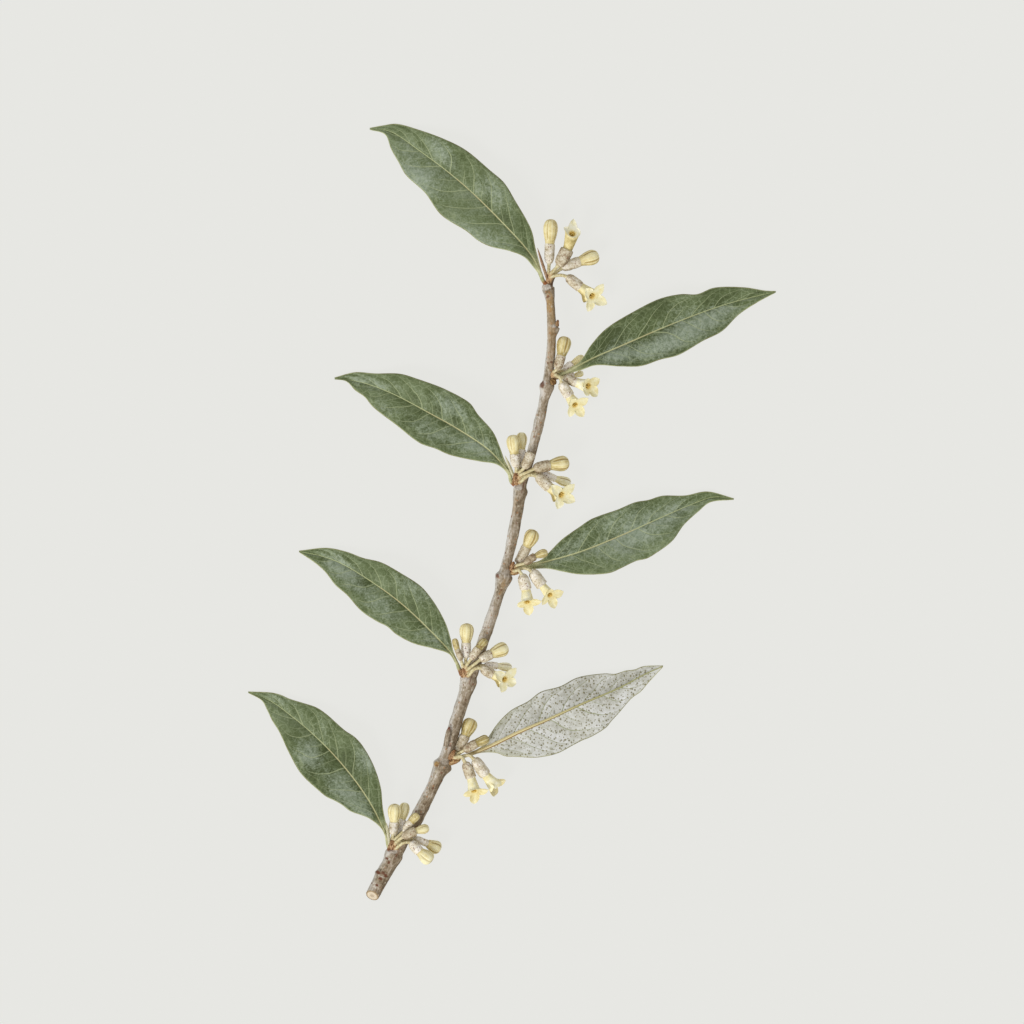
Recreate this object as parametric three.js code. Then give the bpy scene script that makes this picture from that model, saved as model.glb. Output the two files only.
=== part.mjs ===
// A flowering sprig of autumn olive, lying on a flat surface: one twig, seven leaves and seven
// clusters of small flowers. Millimetres, +Z up. The sprig lies along +Y with its cut end towards
// -Y, X runs across it, and the surface it rests on is z = 0.
import * as THREE from 'three';

// ---------------------------------------------------------------- driving dimensions

const UP = new THREE.Vector3(0, 0, 1);

const TWIG = {
  sides: 12,
  steps: 44,
  cutRadius: 1.6,
  endRadius: 0.95,
  tipRadius: 0.35,
  tipLength: 0.015,
  cutSlant: 1.2,
  nodeSwelling: 0.5,
  swellingBelow: 2.6,
  swellingAbove: 1.1,
};

const LEAF = {
  stations: 15,
  petioleRadius: 0.5,
  bladeStart: 0.15,
  bladeHalfThickness: 0.2,
  ribRelief: 0.3,
  camber: 0.35,
  waves: 2.5,
};

const FLOWER = {
  sides: 8,
  footRadius: 0.4,
  pedicelRadius: 0.33,
  tubeWall: 0.3,
  lobeThickness: 0.24,
  lobeHalfWidth: 1.15,
  shoulderReach: 0.35,
  shoulderRoom: 0.8,
  throatDepth: 0.55,
  throatNarrowing: 0.55,
  throatTurn: 0.5,
  mouthTilt: 1.5,
};

// The middle line of the twig, from the cut end to the tip.
const TWIG_PATH = [
  [-35.4, -96.6, 1.5], [-31.2, -88.5, 2.3], [-28.6, -83.9, 2.9], [-24.4, -77.3, 3.6],
  [-20.5, -69.8, 4.2], [-17.2, -62.5, 4.8], [-14.1, -52.3, 5.0], [-10.9, -42.3, 5.2],
  [-8.2, -34.8, 5.3], [-5.2, -26.0, 5.4], [-2.2, -16.0, 5.5], [0.8, -1.5, 5.5],
  [1.9, 5.2, 5.5], [5.5, 17.8, 5.4], [8.5, 31.8, 5.3], [9.8, 44.5, 5.3],
  [9.2, 54.0, 5.2], [8.9, 56.3, 5.2], [10.3, 58.5, 5.2],
];

// How far along Y each swollen node of the twig sits, from the tip down.
const TWIG_NODES = [55.6, 31.4, 5.2, -16.4, -42.4, -63.8, -86.0];

// Each leaf has the foot of its stalk, its midrib, and its left and right edge as seen from above
// on the way from foot to tip. lift is how far the left and right edge stand above the midrib.
const LEAVES = [
  {
    name: 'leaf_1',
    foot: [7.5, 57.6, 5.6],
    rib: [[6.7, 59.8, 5.8], [4.3, 64.2, 5.7], [-3.2, 72.6, 4.6], [-13.2, 82.2, 2.8],
      [-23.2, 89.9, 1.2], [-30.8, 94.9, 0.2], [-35.8, 95.5, 0.0]],
    left: [[6.3, 59.4], [5.0, 61.0], [2.8, 63.4], [-0.8, 64.9], [-5.8, 66.1], [-11.5, 69.8],
      [-18.0, 74.0], [-22.0, 79.5], [-26.8, 84.0], [-30.5, 90.5], [-31.8, 94.3], [-35.8, 95.3]],
    right: [[7.1, 60.0], [5.6, 65.8], [4.6, 70.2], [0.4, 77.8], [-5.8, 85.2], [-11.8, 90.2],
      [-16.8, 92.8], [-23.2, 95.2], [-29.2, 96.8], [-32.5, 96.1], [-35.8, 95.8]],
    lift: [1.5, 1.1],
    wave: 0.45,
    phase: 0.4,
  },
  {
    name: 'leaf_2',
    foot: [11.5, 33.9, 5.3],
    rib: [[13.5, 34.7, 5.3], [19.2, 37.8, 5.3], [27.8, 41.6, 4.4], [39.2, 46.5, 2.8],
      [50.5, 50.8, 1.2], [58.0, 53.0, 0.3], [65.7, 54.8, 0.0]],
    left: [[13.3, 35.2], [16.8, 37.5], [19.5, 41.5], [23.2, 45.5], [30.8, 50.2], [36.8, 53.1],
      [42.0, 54.2], [46.0, 54.2], [50.2, 55.8], [58.0, 55.9], [63.2, 55.1], [65.7, 55.0]],
    right: [[13.7, 34.3], [16.8, 35.4], [20.5, 36.6], [26.8, 36.1], [32.0, 36.2], [36.8, 37.8],
      [41.2, 38.9], [47.5, 42.5], [52.2, 44.9], [56.5, 49.1], [61.2, 52.2], [65.7, 54.6]],
    lift: [1.2, 1.6],
    wave: 0.4,
    phase: 2.1,
  },
  {
    name: 'leaf_3',
    foot: [-0.4, 7.3, 5.6],
    rib: [[-1.0, 9.6, 5.7], [-5.8, 15.0, 5.5], [-13.2, 20.1, 4.7], [-20.8, 24.4, 3.5],
      [-30.8, 29.6, 1.5], [-38.2, 32.2, 0.4], [-44.6, 33.1, 0.0]],
    left: [[-1.4, 9.3], [-2.2, 10.7], [-4.2, 12.0], [-8.5, 12.4], [-15.8, 14.0], [-23.2, 16.9],
      [-29.2, 21.5], [-35.0, 26.0], [-39.5, 30.2], [-41.5, 32.6], [-44.6, 32.9]],
    right: [[-0.6, 9.9], [-2.2, 13.0], [-3.2, 15.8], [-5.0, 19.8], [-8.8, 24.2], [-13.0, 28.8],
      [-18.2, 31.0], [-23.2, 32.8], [-28.2, 34.3], [-34.5, 34.4], [-39.5, 34.7], [-44.6, 33.4]],
    lift: [1.6, 1.2],
    wave: 0.45,
    phase: 1.2,
  },
  {
    name: 'leaf_4',
    foot: [1.7, -13.9, 4.2],
    rib: [[4.2, -13.6, 4.3], [9.2, -12.4, 4.3], [16.8, -10.2, 3.9], [26.8, -6.2, 2.9],
      [36.2, -2.0, 1.7], [45.0, 1.8, 0.6], [50.2, 3.5, 0.1], [55.2, 3.0, 0.0]],
    left: [[4.2, -13.1], [7.0, -12.2], [9.5, -9.8], [12.2, -7.1], [16.8, -4.1], [21.8, -1.1],
      [26.2, 0.4], [30.5, 2.2], [37.2, 3.8], [43.0, 3.9], [48.5, 4.9], [55.2, 3.2]],
    right: [[4.2, -14.1], [8.8, -14.1], [12.2, -15.1], [16.2, -15.8], [21.8, -15.8],
      [26.8, -14.4], [30.8, -12.5], [35.8, -10.5], [39.8, -7.5], [42.8, -3.4], [46.2, 0.1],
      [49.0, 2.4], [55.2, 2.8]],
    lift: [1.3, 1.5],
    wave: 0.45,
    phase: 0.0,
  },
  {
    name: 'leaf_5',
    foot: [-13.7, -39.4, 5.5],
    rib: [[-14.1, -38.0, 5.6], [-15.8, -35.2, 5.6], [-20.8, -29.8, 5.0], [-28.2, -22.9, 3.7],
      [-35.8, -17.4, 2.2], [-43.2, -13.0, 0.8], [-48.2, -11.2, 0.2], [-53.5, -10.1, 0.0]],
    left: [[-14.5, -38.2], [-16.0, -35.9], [-19.8, -34.4], [-24.8, -33.1], [-29.2, -30.8],
      [-34.0, -27.6], [-38.0, -24.9], [-41.5, -21.0], [-44.5, -18.4], [-46.8, -15.4],
      [-49.2, -13.2], [-53.5, -10.3]],
    right: [[-13.7, -37.7], [-14.9, -35.0], [-15.5, -32.2], [-16.5, -28.2], [-18.8, -23.8],
      [-23.0, -18.8], [-28.2, -15.4], [-33.0, -12.8], [-37.5, -12.0], [-41.5, -10.2],
      [-46.5, -9.2], [-53.5, -9.9]],
    lift: [1.4, 1.3],
    wave: 0.4,
    phase: 2.6,
  },
  {
    name: 'leaf_6',
    underside: true,
    foot: [-13.2, -61.5, 4.6],
    rib: [[-10.8, -60.8, 4.7], [-5.8, -58.8, 4.9], [1.8, -55.1, 4.8], [9.2, -51.9, 4.3],
      [16.8, -48.4, 3.5], [26.8, -44.1, 2.0], [33.0, -40.8, 0.8], [37.5, -38.8, 0.0]],
    left: [[-11.0, -60.4], [-7.8, -58.8], [-5.8, -56.4], [-3.8, -53.0], [-0.5, -49.8],
      [3.8, -47.5], [7.0, -45.0], [11.8, -43.8], [16.2, -41.6], [23.0, -40.6], [28.2, -40.0],
      [37.5, -38.6]],
    right: [[-10.6, -61.2], [-7.8, -60.4], [-4.0, -60.5], [0.5, -61.4], [6.0, -61.6],
      [11.0, -60.6], [15.0, -58.8], [19.8, -56.8], [23.5, -54.1], [26.2, -50.8], [30.0, -47.1],
      [33.8, -43.0], [37.5, -39.0]],
    lift: [-1.5, -2.0],
    wave: 0.4,
    phase: 1.0,
  },
  {
    name: 'leaf_7',
    foot: [-31.4, -83.8, 3.5],
    rib: [[-31.8, -81.2, 3.7], [-34.5, -75.1, 4.1], [-38.2, -69.1, 3.9], [-44.2, -61.6, 2.9],
      [-50.2, -55.6, 1.6], [-56.0, -50.8, 0.6], [-60.8, -47.4, 0.1], [-66.2, -45.3, 0.0]],
    left: [[-32.1, -81.4], [-32.8, -79.5], [-35.8, -76.9], [-40.8, -74.9], [-44.5, -72.4],
      [-48.5, -69.9], [-52.8, -65.5], [-55.8, -60.8], [-58.5, -55.1], [-61.1, -49.8],
      [-62.8, -47.4], [-66.2, -45.5]],
    right: [[-31.3, -81.0], [-31.8, -78.8], [-32.5, -74.2], [-33.0, -69.2], [-34.6, -63.5],
      [-37.8, -58.8], [-42.0, -54.8], [-47.0, -50.8], [-52.0, -48.1], [-56.0, -47.2],
      [-60.2, -45.4], [-66.2, -45.1]],
    lift: [1.5, 1.2],
    wave: 0.4,
    phase: 3.4,
  },
];

// Each flower follows a middle line: foot of the stalk, bends in the stalk, then always the neck
// under the swollen silvery base, the waist above it, and the end. The end is a bud's tip, or the
// middle of an open flower's mouth. base and head are the radii of the swollen base and of the
// bud or mouth. lobes holds the tips of an open flower's four lobes, counted from its mouth, and
// tilt says how far that mouth turns up, where it isn't the usual mouthTilt.
const FLOWERS = [
  { name: 'bud_1a', path: [[8.9, 59.9, 6.2], [9.0, 61.75, 5.7], [9.2, 66.55, 4.7], [9.5, 72.95, 3.4]],
    base: 1.2, head: 1.6 },
  { name: 'flower_1b', path: [[9.8, 59.7, 6.9], [11.25, 61.3, 7.1], [13.55, 65.3, 6.9], [15.15, 68.9, 7.9]],
    base: 1.3, head: 1.5,
    lobes: [[0.2, 3.3], [-2.6, 0.6], [0.3, -1.4, 1.9], [2.3, -0.6]] },
  { name: 'bud_1c', path: [[10.4, 59.3, 5.8], [12.2, 60.6, 5.2], [16.5, 62.3, 4.2], [21.4, 63.9, 3.2]],
    base: 1.2, head: 1.75 },
  { name: 'flower_1d', path: [[9.8, 58.6, 6.7], [11.9, 58.9, 6.9], [13.4, 58.5, 6.7], [16.6, 55.8, 5.4],
    [20.0, 53.6, 5.6]],
    base: 1.3, head: 1.7,
    lobes: [[2.7, 3.1], [3.3, -1.8], [-1.25, -3.85], [-1.8, 1.9]] },

  { name: 'bud_2a', path: [[10.4, 34.9, 6.5], [10.9, 35.35, 6.7], [12.0, 38.65, 6.6], [13.1, 43.55, 5.6]],
    base: 1.2, head: 1.75 },
  { name: 'bud_2b', path: [[11.0, 34.5, 4.6], [12.6, 35.2, 3.9], [14.7, 36.7, 3.0], [17.8, 38.5, 2.2]],
    base: 1.0, head: 1.05 },
  { name: 'bud_2c', path: [[11.2, 33.3, 4.3], [12.6, 33.6, 3.7], [15.3, 33.9, 3.5], [17.6, 34.5, 3.4]],
    base: 0.75, head: 0.75 },
  { name: 'flower_2d', path: [[11.5, 33.5, 6.14], [12.6, 33.3, 6.0], [15.8, 32.1, 5.8], [19.2, 31.1, 6.0]],
    base: 1.2, head: 1.7,
    lobes: [[2.4, 2.2], [1.9, -2.3], [-1.2, -2.9], [-1.6, 1.5]] },
  { name: 'flower_2e', path: [[10.8, 33.9, 6.9], [11.8, 33.2, 7.9], [12.3, 32.2, 7.6], [14.0, 28.8, 6.0],
    [15.7, 26.2, 6.0]],
    base: 1.25, head: 1.6,
    lobes: [[3.1, 1.6], [2.0, -2.4], [-1.8, -2.5], [-1.3, 1.9]] },

  { name: 'bud_3a', path: [[0.8, 10.1, 6.9], [0.8, 10.9, 7.1], [0.4, 14.1, 6.8], [-0.1, 19.1, 6.1]],
    base: 1.25, head: 1.6 },
  { name: 'bud_3b', path: [[1.4, 9.7, 5.6], [1.8, 11.0, 4.7], [2.2, 15.2, 4.2], [2.1, 19.9, 3.9]],
    base: 1.1, head: 1.3 },
  { name: 'bud_3c', path: [[1.7, 9.7, 7.1], [2.7, 10.7, 8.0], [3.9, 13.0, 8.2], [4.5, 14.6, 8.0]],
    base: 1.05, head: 0.85 },
  { name: 'bud_3d', path: [[2.2, 9.1, 7.6], [3.8, 9.8, 8.1], [5.2, 10.5, 7.9], [9.0, 11.5, 6.7],
    [14.0, 12.2, 5.5]],
    base: 1.4, head: 1.85 },
  { name: 'bud_3e', path: [[2.1, 8.2, 7.0], [3.9, 9.4, 7.1], [7.2, 9.5, 5.7], [10.5, 8.3, 4.2],
    [14.4, 7.1, 3.4]],
    base: 0.9, head: 1.2 },
  { name: 'flower_3f', path: [[2.0, 7.4, 7.5], [4.0, 8.9, 8.25], [5.8, 8.7, 7.85], [9.0, 6.0, 6.35],
    [12.5, 3.8, 6.45]],
    base: 1.3, head: 1.7,
    lobes: [[2.8, 2.9], [3.1, -1.5], [-1.35, -3.4], [-1.8, 2.0]] },

  { name: 'bud_4a', path: [[0.7, -13.7, 5.3], [1.45, -13.1, 4.8], [3.25, -9.5, 4.6], [5.35, -4.8, 4.2]],
    base: 1.2, head: 1.8 },
  { name: 'bud_4b', path: [[1.0, -13.6, 6.4], [2.85, -13.05, 6.8], [5.45, -11.35, 6.7], [8.65, -10.25, 6.3]],
    base: 0.95, head: 1.05 },
  { name: 'flower_4c', path: [[0.7, -14.95, 7.15], [1.35, -14.75, 7.4], [2.15, -15.9, 7.0], [3.2, -19.5, 5.8],
    [3.6, -22.8, 6.2]],
    base: 1.3, head: 1.6,
    lobes: [[-2.8, -0.5], [0.3, -3.1], [2.9, 0.0], [0.0, 1.9]] },
  { name: 'flower_4d', path: [[1.5, -14.5, 6.5], [3.1, -14.3, 6.4], [4.6, -15.1, 6.1], [7.3, -18.6, 5.3],
    [9.3, -21.3, 5.8]],
    base: 1.3, head: 1.4,
    lobes: [[3.3, 1.05], [1.0, -3.1], [-2.2, -2.2], [-0.4, 2.1]] },

  { name: 'bud_5a', path: [[-12.6, -38.5, 6.8], [-12.9, -37.4, 7.0], [-13.8, -34.8, 7.0],
    [-14.6, -32.1, 6.7]],
    base: 0.62, head: 0.7 },
  { name: 'bud_5b', path: [[-11.8, -38.4, 6.4], [-11.8, -36.8, 6.0], [-11.8, -33.0, 5.3],
    [-11.6, -28.0, 4.4]],
    base: 1.2, head: 1.65 },
  { name: 'bud_5c', path: [[-11.5, -38.4, 7.3], [-10.5, -37.0, 7.7], [-8.6, -34.3, 8.0], [-6.7, -32.0, 8.0]],
    base: 1.1, head: 0.95 },
  { name: 'bud_5d', path: [[-11.0, -39.3, 7.42], [-9.4, -38.1, 7.9], [-8.3, -37.2, 7.7], [-5.6, -35.8, 6.7],
    [-1.2, -34.1, 5.5]],
    base: 1.25, head: 1.75 },
  { name: 'bud_5e', path: [[-11.0, -40.2, 7.05], [-9.3, -39.1, 7.1], [-7.1, -38.5, 5.7], [-4.0, -38.7, 4.5],
    [-0.3, -39.2, 3.7]],
    base: 0.9, head: 1.1 },
  { name: 'flower_5f', path: [[-10.9, -40.9, 7.5], [-9.5, -39.4, 8.45], [-8.0, -39.3, 8.25],
    [-5.2, -40.8, 6.85],
    [-2.0, -42.0, 6.75]],
    base: 1.25, head: 1.6,
    lobes: [[2.2, 2.7], [2.7, -1.15], [-0.9, -3.3], [-1.9, 1.6]] },

  { name: 'bud_6a', path: [[-14.3, -60.8, 4.7], [-13.35, -60.1, 4.3], [-11.65, -56.3, 4.0],
    [-10.15, -51.9, 3.7]],
    base: 1.25, head: 1.85 },
  { name: 'bud_6b', path: [[-14.0, -60.9, 5.9], [-12.25, -59.8, 6.6], [-9.25, -58.1, 6.5],
    [-6.05, -56.7, 6.1]],
    base: 1.15, head: 1.2 },
  { name: 'flower_6c', path: [[-14.2, -61.5, 6.8], [-13.0, -61.3, 7.1], [-12.0, -62.8, 6.8],
    [-10.5, -66.6, 5.5],
    [-9.5, -69.9, 5.8]],
    base: 1.3, head: 1.5,
    lobes: [[-3.0, -1.0], [0.0, -3.1], [3.5, 0.4], [0.0, 1.9]] },
  { name: 'flower_6d', path: [[-13.5, -61.6, 6.0], [-11.05, -61.0, 6.4], [-9.75, -62.0, 6.2],
    [-6.95, -65.8, 5.2],
    [-4.75, -68.4, 4.0]],
    base: 1.3, head: 1.5,
    lobes: [[2.6, 1.4, -0.2], [0.0, 0.3, 2.3], [-0.6, -2.5, 0.2], [0.6, -0.7, -2.4]], tilt: 0.5 },

  { name: 'bud_7a', path: [[-30.1, -81.7, 5.0], [-30.0, -80.8, 4.9], [-29.7, -77.8, 4.5],
    [-29.5, -73.1, 4.0]],
    base: 1.15, head: 1.5 },
  { name: 'bud_7b', path: [[-29.7, -82.0, 3.9], [-29.0, -80.9, 2.6], [-27.7, -77.2, 1.9],
    [-26.9, -72.9, 1.7]],
    base: 1.05, head: 1.3 },
  { name: 'bud_7c', path: [[-29.4, -82.0, 5.2], [-27.3, -79.95, 5.8], [-25.5, -77.65, 6.2],
    [-23.6, -75.75, 6.3]],
    base: 0.9, head: 0.95 },
  { name: 'bud_7d', path: [[-29.1, -82.7, 5.9], [-27.6, -81.5, 7.1], [-24.4, -80.0, 7.1],
    [-21.0, -79.1, 6.2]],
    base: 1.2, head: 1.15 },
  { name: 'bud_7e', path: [[-28.9, -83.2, 5.1], [-27.1, -82.5, 5.3], [-24.8, -81.9, 4.4], [-21.4, -83.1, 3.3],
    [-18.2, -84.8, 2.7]],
    base: 0.9, head: 1.5 },
  { name: 'bud_7f', path: [[-29.0, -84.1, 5.6], [-27.4, -82.9, 6.3], [-25.8, -82.8, 6.0], [-23.4, -85.0, 5.0],
    [-20.2, -87.6, 4.2]],
    base: 1.25, head: 1.8 },
];

// Small brown pieces round each node: from, to, and the widest radius between them.
const SMALL_PIECES = [
  { name: 'bud_scales_1', kind: 'scale', from: [8.3, 57.4, 6.4], to: [8.8, 59.6, 6.4], radius: 0.7 },
  { name: 'bud_scales_2', kind: 'scale', from: [10.0, 33.7, 5.8], to: [10.8, 34.1, 5.6], radius: 0.5 },
  { name: 'bud_scales_3', kind: 'scale', from: [0.3, 6.9, 6.5], to: [0.7, 9.6, 6.7], radius: 0.9 },
  { name: 'bud_scales_4', kind: 'scale', from: [-0.1, -14.6, 6.4], to: [0.5, -12.2, 6.9], radius: 0.55 },
  { name: 'bud_scales_5', kind: 'scale', from: [-12.7, -41.0, 6.6], to: [-12.2, -38.9, 6.7], radius: 1.0 },
  { name: 'bud_scales_6', kind: 'scale', from: [-15.4, -61.6, 6.2], to: [-14.5, -59.8, 6.6], radius: 0.6 },
  { name: 'bud_scales_7', kind: 'scale', from: [-30.9, -84.4, 5.0], to: [-30.3, -82.2, 5.0], radius: 1.0 },
  { name: 'resting_bud_2', kind: 'bud', from: [9.8, 33.1, 6.8], to: [10.3, 31.7, 7.0], radius: 0.8 },
  { name: 'resting_bud_4', kind: 'bud', from: [-0.3, -15.5, 5.6], to: [1.6, -14.9, 5.5], radius: 0.6 },
  { name: 'resting_bud_6', kind: 'bud', from: [-15.5, -63.2, 5.5], to: [-13.2, -62.3, 5.5], radius: 0.65 },
  { name: 'side_bud_1', kind: 'bud', from: [11.2, 45.9, 5.4], to: [11.1, 48.2, 5.5], radius: 0.5 },
  { name: 'side_bud_5', kind: 'bud', from: [-16.7, -58.6, 6.8], to: [-15.9, -53.9, 6.8], radius: 0.62 },
  { name: 'bract_1', kind: 'bract', from: [8.2, 60.0, 6.6], to: [6.1, 65.7, 7.0], radius: 0.32 },
  { name: 'bract_3', kind: 'bract', from: [-0.2, 10.1, 6.4], to: [-2.0, 13.8, 6.5], radius: 0.38 },
  { name: 'bract_7', kind: 'bract', from: [-31.1, -81.7, 5.3], to: [-31.5, -78.2, 5.4], radius: 0.33 },
];

// ---------------------------------------------------------------- materials

function material(color, roughness) {
  return new THREE.MeshStandardMaterial({ color, roughness, metalness: 0 });
}

const MATERIALS = {
  bark: () => material('#857a6c', 0.8),
  leafTop: () => material('#62754c', 0.55),
  leafBack: () => material('#b9bcb0', 0.6),
  flower: () => material('#ddd8b4', 0.6),
  scale: () => material('#8a5a34', 0.7),
  bud: () => material('#8b7350', 0.7),
  bract: () => material('#a9906c', 0.7),
};

// ---------------------------------------------------------------- geometry helpers

function vector(point) {
  return new THREE.Vector3(point[0], point[1], point[2] ?? 0);
}

function curve(points) {
  return new THREE.CatmullRomCurve3(points.map(vector), false, 'centripetal');
}

function smooth(value) {
  const t = Math.min(1, Math.max(0, value));
  return t * t * (3 - 2 * t);
}

// Raises a ring of points that dips under the surface until its lowest point lies on it.
function restOnSurface(ring) {
  const lowest = Math.min(...ring.map((point) => point.z));
  const raise = Math.max(0, -lowest);
  ring.forEach((point) => { point.z += raise; });
  return ring;
}

// One closed skin over rings of equally many points, each ring turning left round the way ahead.
function loft(rings) {
  const count = rings[0].length;
  const points = rings.flat();
  const faces = [];
  for (let start = 0; start + count < points.length; start += count) {
    for (let i = 0; i < count; i += 1) {
      const a = start + i;
      const b = start + (i + 1) % count;
      faces.push(a, b, b + count);
      faces.push(a, b + count, a + count);
    }
  }
  const lastRing = points.length - count;
  const firstMiddle = points.length;
  points.push(middle(rings[0]));
  points.push(middle(rings[rings.length - 1]));
  for (let i = 0; i < count; i += 1) {
    const next = (i + 1) % count;
    faces.push(firstMiddle, next, i);
    faces.push(firstMiddle + 1, lastRing + i, lastRing + next);
  }
  const geometry = new THREE.BufferGeometry();
  const positions = points.flatMap((point) => [point.x, point.y, point.z]);
  geometry.setAttribute('position', new THREE.Float32BufferAttribute(positions, 3));
  geometry.setIndex(faces);
  geometry.computeVertexNormals();
  return geometry;
}

function middle(ring) {
  const sum = ring.reduce((total, point) => total.add(point), new THREE.Vector3());
  return sum.divideScalar(ring.length);
}

// Two directions across a way ahead: side points left of it, top points up from it.
function across(ahead) {
  const side = new THREE.Vector3().crossVectors(UP, ahead).normalize();
  const top = new THREE.Vector3().crossVectors(ahead, side).normalize();
  return { side, top };
}

function ringAt(centre, ahead, radius, angles) {
  const { side, top } = across(ahead);
  return angles.map((angle) => centre.clone()
    .addScaledVector(side, radius * Math.cos(angle))
    .addScaledVector(top, radius * Math.sin(angle)));
}

function evenAngles(count) {
  return Array.from({ length: count }, (_, i) => (2 * Math.PI * i) / count);
}

// ---------------------------------------------------------------- twig

function twigRadius(point, along) {
  const taper = THREE.MathUtils.lerp(TWIG.cutRadius, TWIG.endRadius, Math.min(1, along * 1.1));
  const swelling = TWIG_NODES.reduce((sum, nodeY) => {
    const away = point.y - nodeY;
    const width = away < 0 ? TWIG.swellingBelow : TWIG.swellingAbove;
    return sum + TWIG.nodeSwelling * Math.exp(-((away / width) ** 2));
  }, 0);
  const tipShare = smooth((along - 1 + TWIG.tipLength) / TWIG.tipLength);
  return THREE.MathUtils.lerp(taper + swelling, TWIG.tipRadius, tipShare);
}

// Steps along the twig are even, with one more where it narrows to its tip.
function twigStations() {
  const stations = Array.from({ length: TWIG.steps }, (_, i) => i / (TWIG.steps - 1));
  return stations.concat([1 - TWIG.tipLength / 2]).sort((a, b) => a - b);
}

function twigGeometry() {
  const path = curve(TWIG_PATH);
  const angles = evenAngles(TWIG.sides);
  const rings = twigStations().map((along) => {
    const centre = path.getPointAt(along);
    const ahead = path.getTangentAt(along);
    const ring = ringAt(centre, ahead, twigRadius(centre, along), angles);
    if (along === 0) {
      ring.forEach((point, i) => point.addScaledVector(ahead, TWIG.cutSlant * Math.sin(angles[i])));
    }
    return restOnSurface(ring);
  });
  return loft(rings);
}

// ---------------------------------------------------------------- leaves

// The eight corners of a leaf's cross-section, from its left edge over the top and back under.
function leafRing(left, rib, right, half, topRib, backRib, camber) {
  const raised = (point, height) => point.clone().addScaledVector(UP, height);
  const leftMiddle = raised(left.clone().lerp(rib, 0.5), camber);
  const rightMiddle = raised(right.clone().lerp(rib, 0.5), camber);
  return [
    left.clone(),
    raised(leftMiddle, half),
    raised(rib, topRib),
    raised(rightMiddle, half),
    right.clone(),
    raised(rightMiddle, -half),
    raised(rib, -backRib),
    raised(leftMiddle, -half),
  ];
}

function leafGeometry(leaf) {
  const rib = curve(leaf.rib);
  const left = curve(leaf.left);
  const right = curve(leaf.right);
  const stalk = LEAF.petioleRadius;
  const facing = leaf.underside ? -1 : 1;
  const foot = vector(leaf.foot);
  const start = rib.getPointAt(0);
  const ahead = start.clone().sub(foot).normalize();
  const rings = [0, 0.5].map((share) => {
    return ringAt(foot.clone().lerp(start, share), ahead, stalk, evenAngles(8));
  });
  for (let i = 0; i <= LEAF.stations; i += 1) {
    const along = i / LEAF.stations;
    const middlePoint = rib.getPointAt(along);
    const belly = Math.sin(Math.PI * along);
    const ripple = leaf.wave * belly * Math.sin(2 * Math.PI * LEAF.waves * along + leaf.phase);
    const edges = [left, right].map((edge, side) => {
      const point = edge.getPointAt(along);
      const turn = side === 0 ? 1 : -1;
      point.z = middlePoint.z + leaf.lift[side] * belly + ripple * turn;
      return point;
    });
    const flat = smooth(along / LEAF.bladeStart);
    const half = THREE.MathUtils.lerp(stalk, LEAF.bladeHalfThickness, flat);
    const relief = LEAF.ribRelief * flat * (1 - along);
    const topRib = half + (leaf.underside ? relief : 0);
    const backRib = half + (leaf.underside ? 0 : relief);
    const camber = facing * LEAF.camber * belly;
    rings.push(leafRing(edges[0], middlePoint, edges[1], half, topRib, backRib, camber));
  }
  return loft(rings.map(restOnSurface));
}

// ---------------------------------------------------------------- flowers

// Stations along a flower: how far between neck (0), waist (1) and end (2), and the share of the
// base radius or of the head radius there. A tube's stations also say how far its rings have turned
// from square across the tube to the plane of the mouth.
const BUD_BASE = [[0.12, 0.62], [0.4, 1.0], [0.72, 1.0], [1.0, 0.92]];
const BUD_HEAD = [[1.12, 0.76], [1.45, 0.95], [1.72, 1.0], [1.9, 0.78], [2.0, 0.3]];
const OPEN_BASE = [[0.12, 0.62], [0.4, 0.98], [0.72, 1.04], [1.0, 1.08]];
const TUBE = [[1.1, 0.74, 0], [1.4, 0.8, 0.35], [1.7, 0.9, 0.75]];

// A point and the way ahead at a place counted in points of the path, such as 1.5.
function placeOn(path, spot) {
  const share = spot / (path.points.length - 1);
  return { centre: path.getPoint(share), ahead: path.getTangent(share) };
}

// The rings that a bud and an open flower share: the stalk and the swollen base.
function stalkAndBase(flower, path, angles, baseProfile) {
  const neck = flower.path.length - 3;
  const rings = [];
  for (let spot = 0; spot <= neck; spot += 0.5) {
    const { centre, ahead } = placeOn(path, spot);
    const radius = spot === 0 ? FLOWER.footRadius : FLOWER.pedicelRadius;
    rings.push(ringAt(centre, ahead, radius, angles));
  }
  baseProfile.forEach(([spot, share]) => {
    const { centre, ahead } = placeOn(path, neck + spot);
    rings.push(ringAt(centre, ahead, flower.base * share, angles));
  });
  return rings;
}

function budGeometry(flower) {
  const path = curve(flower.path);
  const neck = flower.path.length - 3;
  const angles = evenAngles(FLOWER.sides);
  const rings = stalkAndBase(flower, path, angles, BUD_BASE);
  BUD_HEAD.forEach(([spot, share]) => {
    const { centre, ahead } = placeOn(path, neck + spot);
    rings.push(ringAt(centre, ahead, flower.head * share, angles));
  });
  return loft(rings.map(restOnSurface));
}

// A lobe's tip counted from the mouth. Without a height of its own it lies in the mouth's plane.
function lobeTip([x, y, ownHeight], facing) {
  const inPlane = -(x * facing.x + y * facing.y) / facing.z;
  return new THREE.Vector3(x, y, ownHeight ?? inPlane);
}

// The lobes in order round the mouth, each with its angle in the plane of the mouth.
function orderedLobes(flower, facing) {
  const { side, top } = across(facing);
  return flower.lobes.map((offset) => {
    const tip = lobeTip(offset, facing);
    return { tip, angle: Math.atan2(tip.dot(top), tip.dot(side)) };
  }).sort((a, b) => a.angle - b.angle);
}

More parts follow.
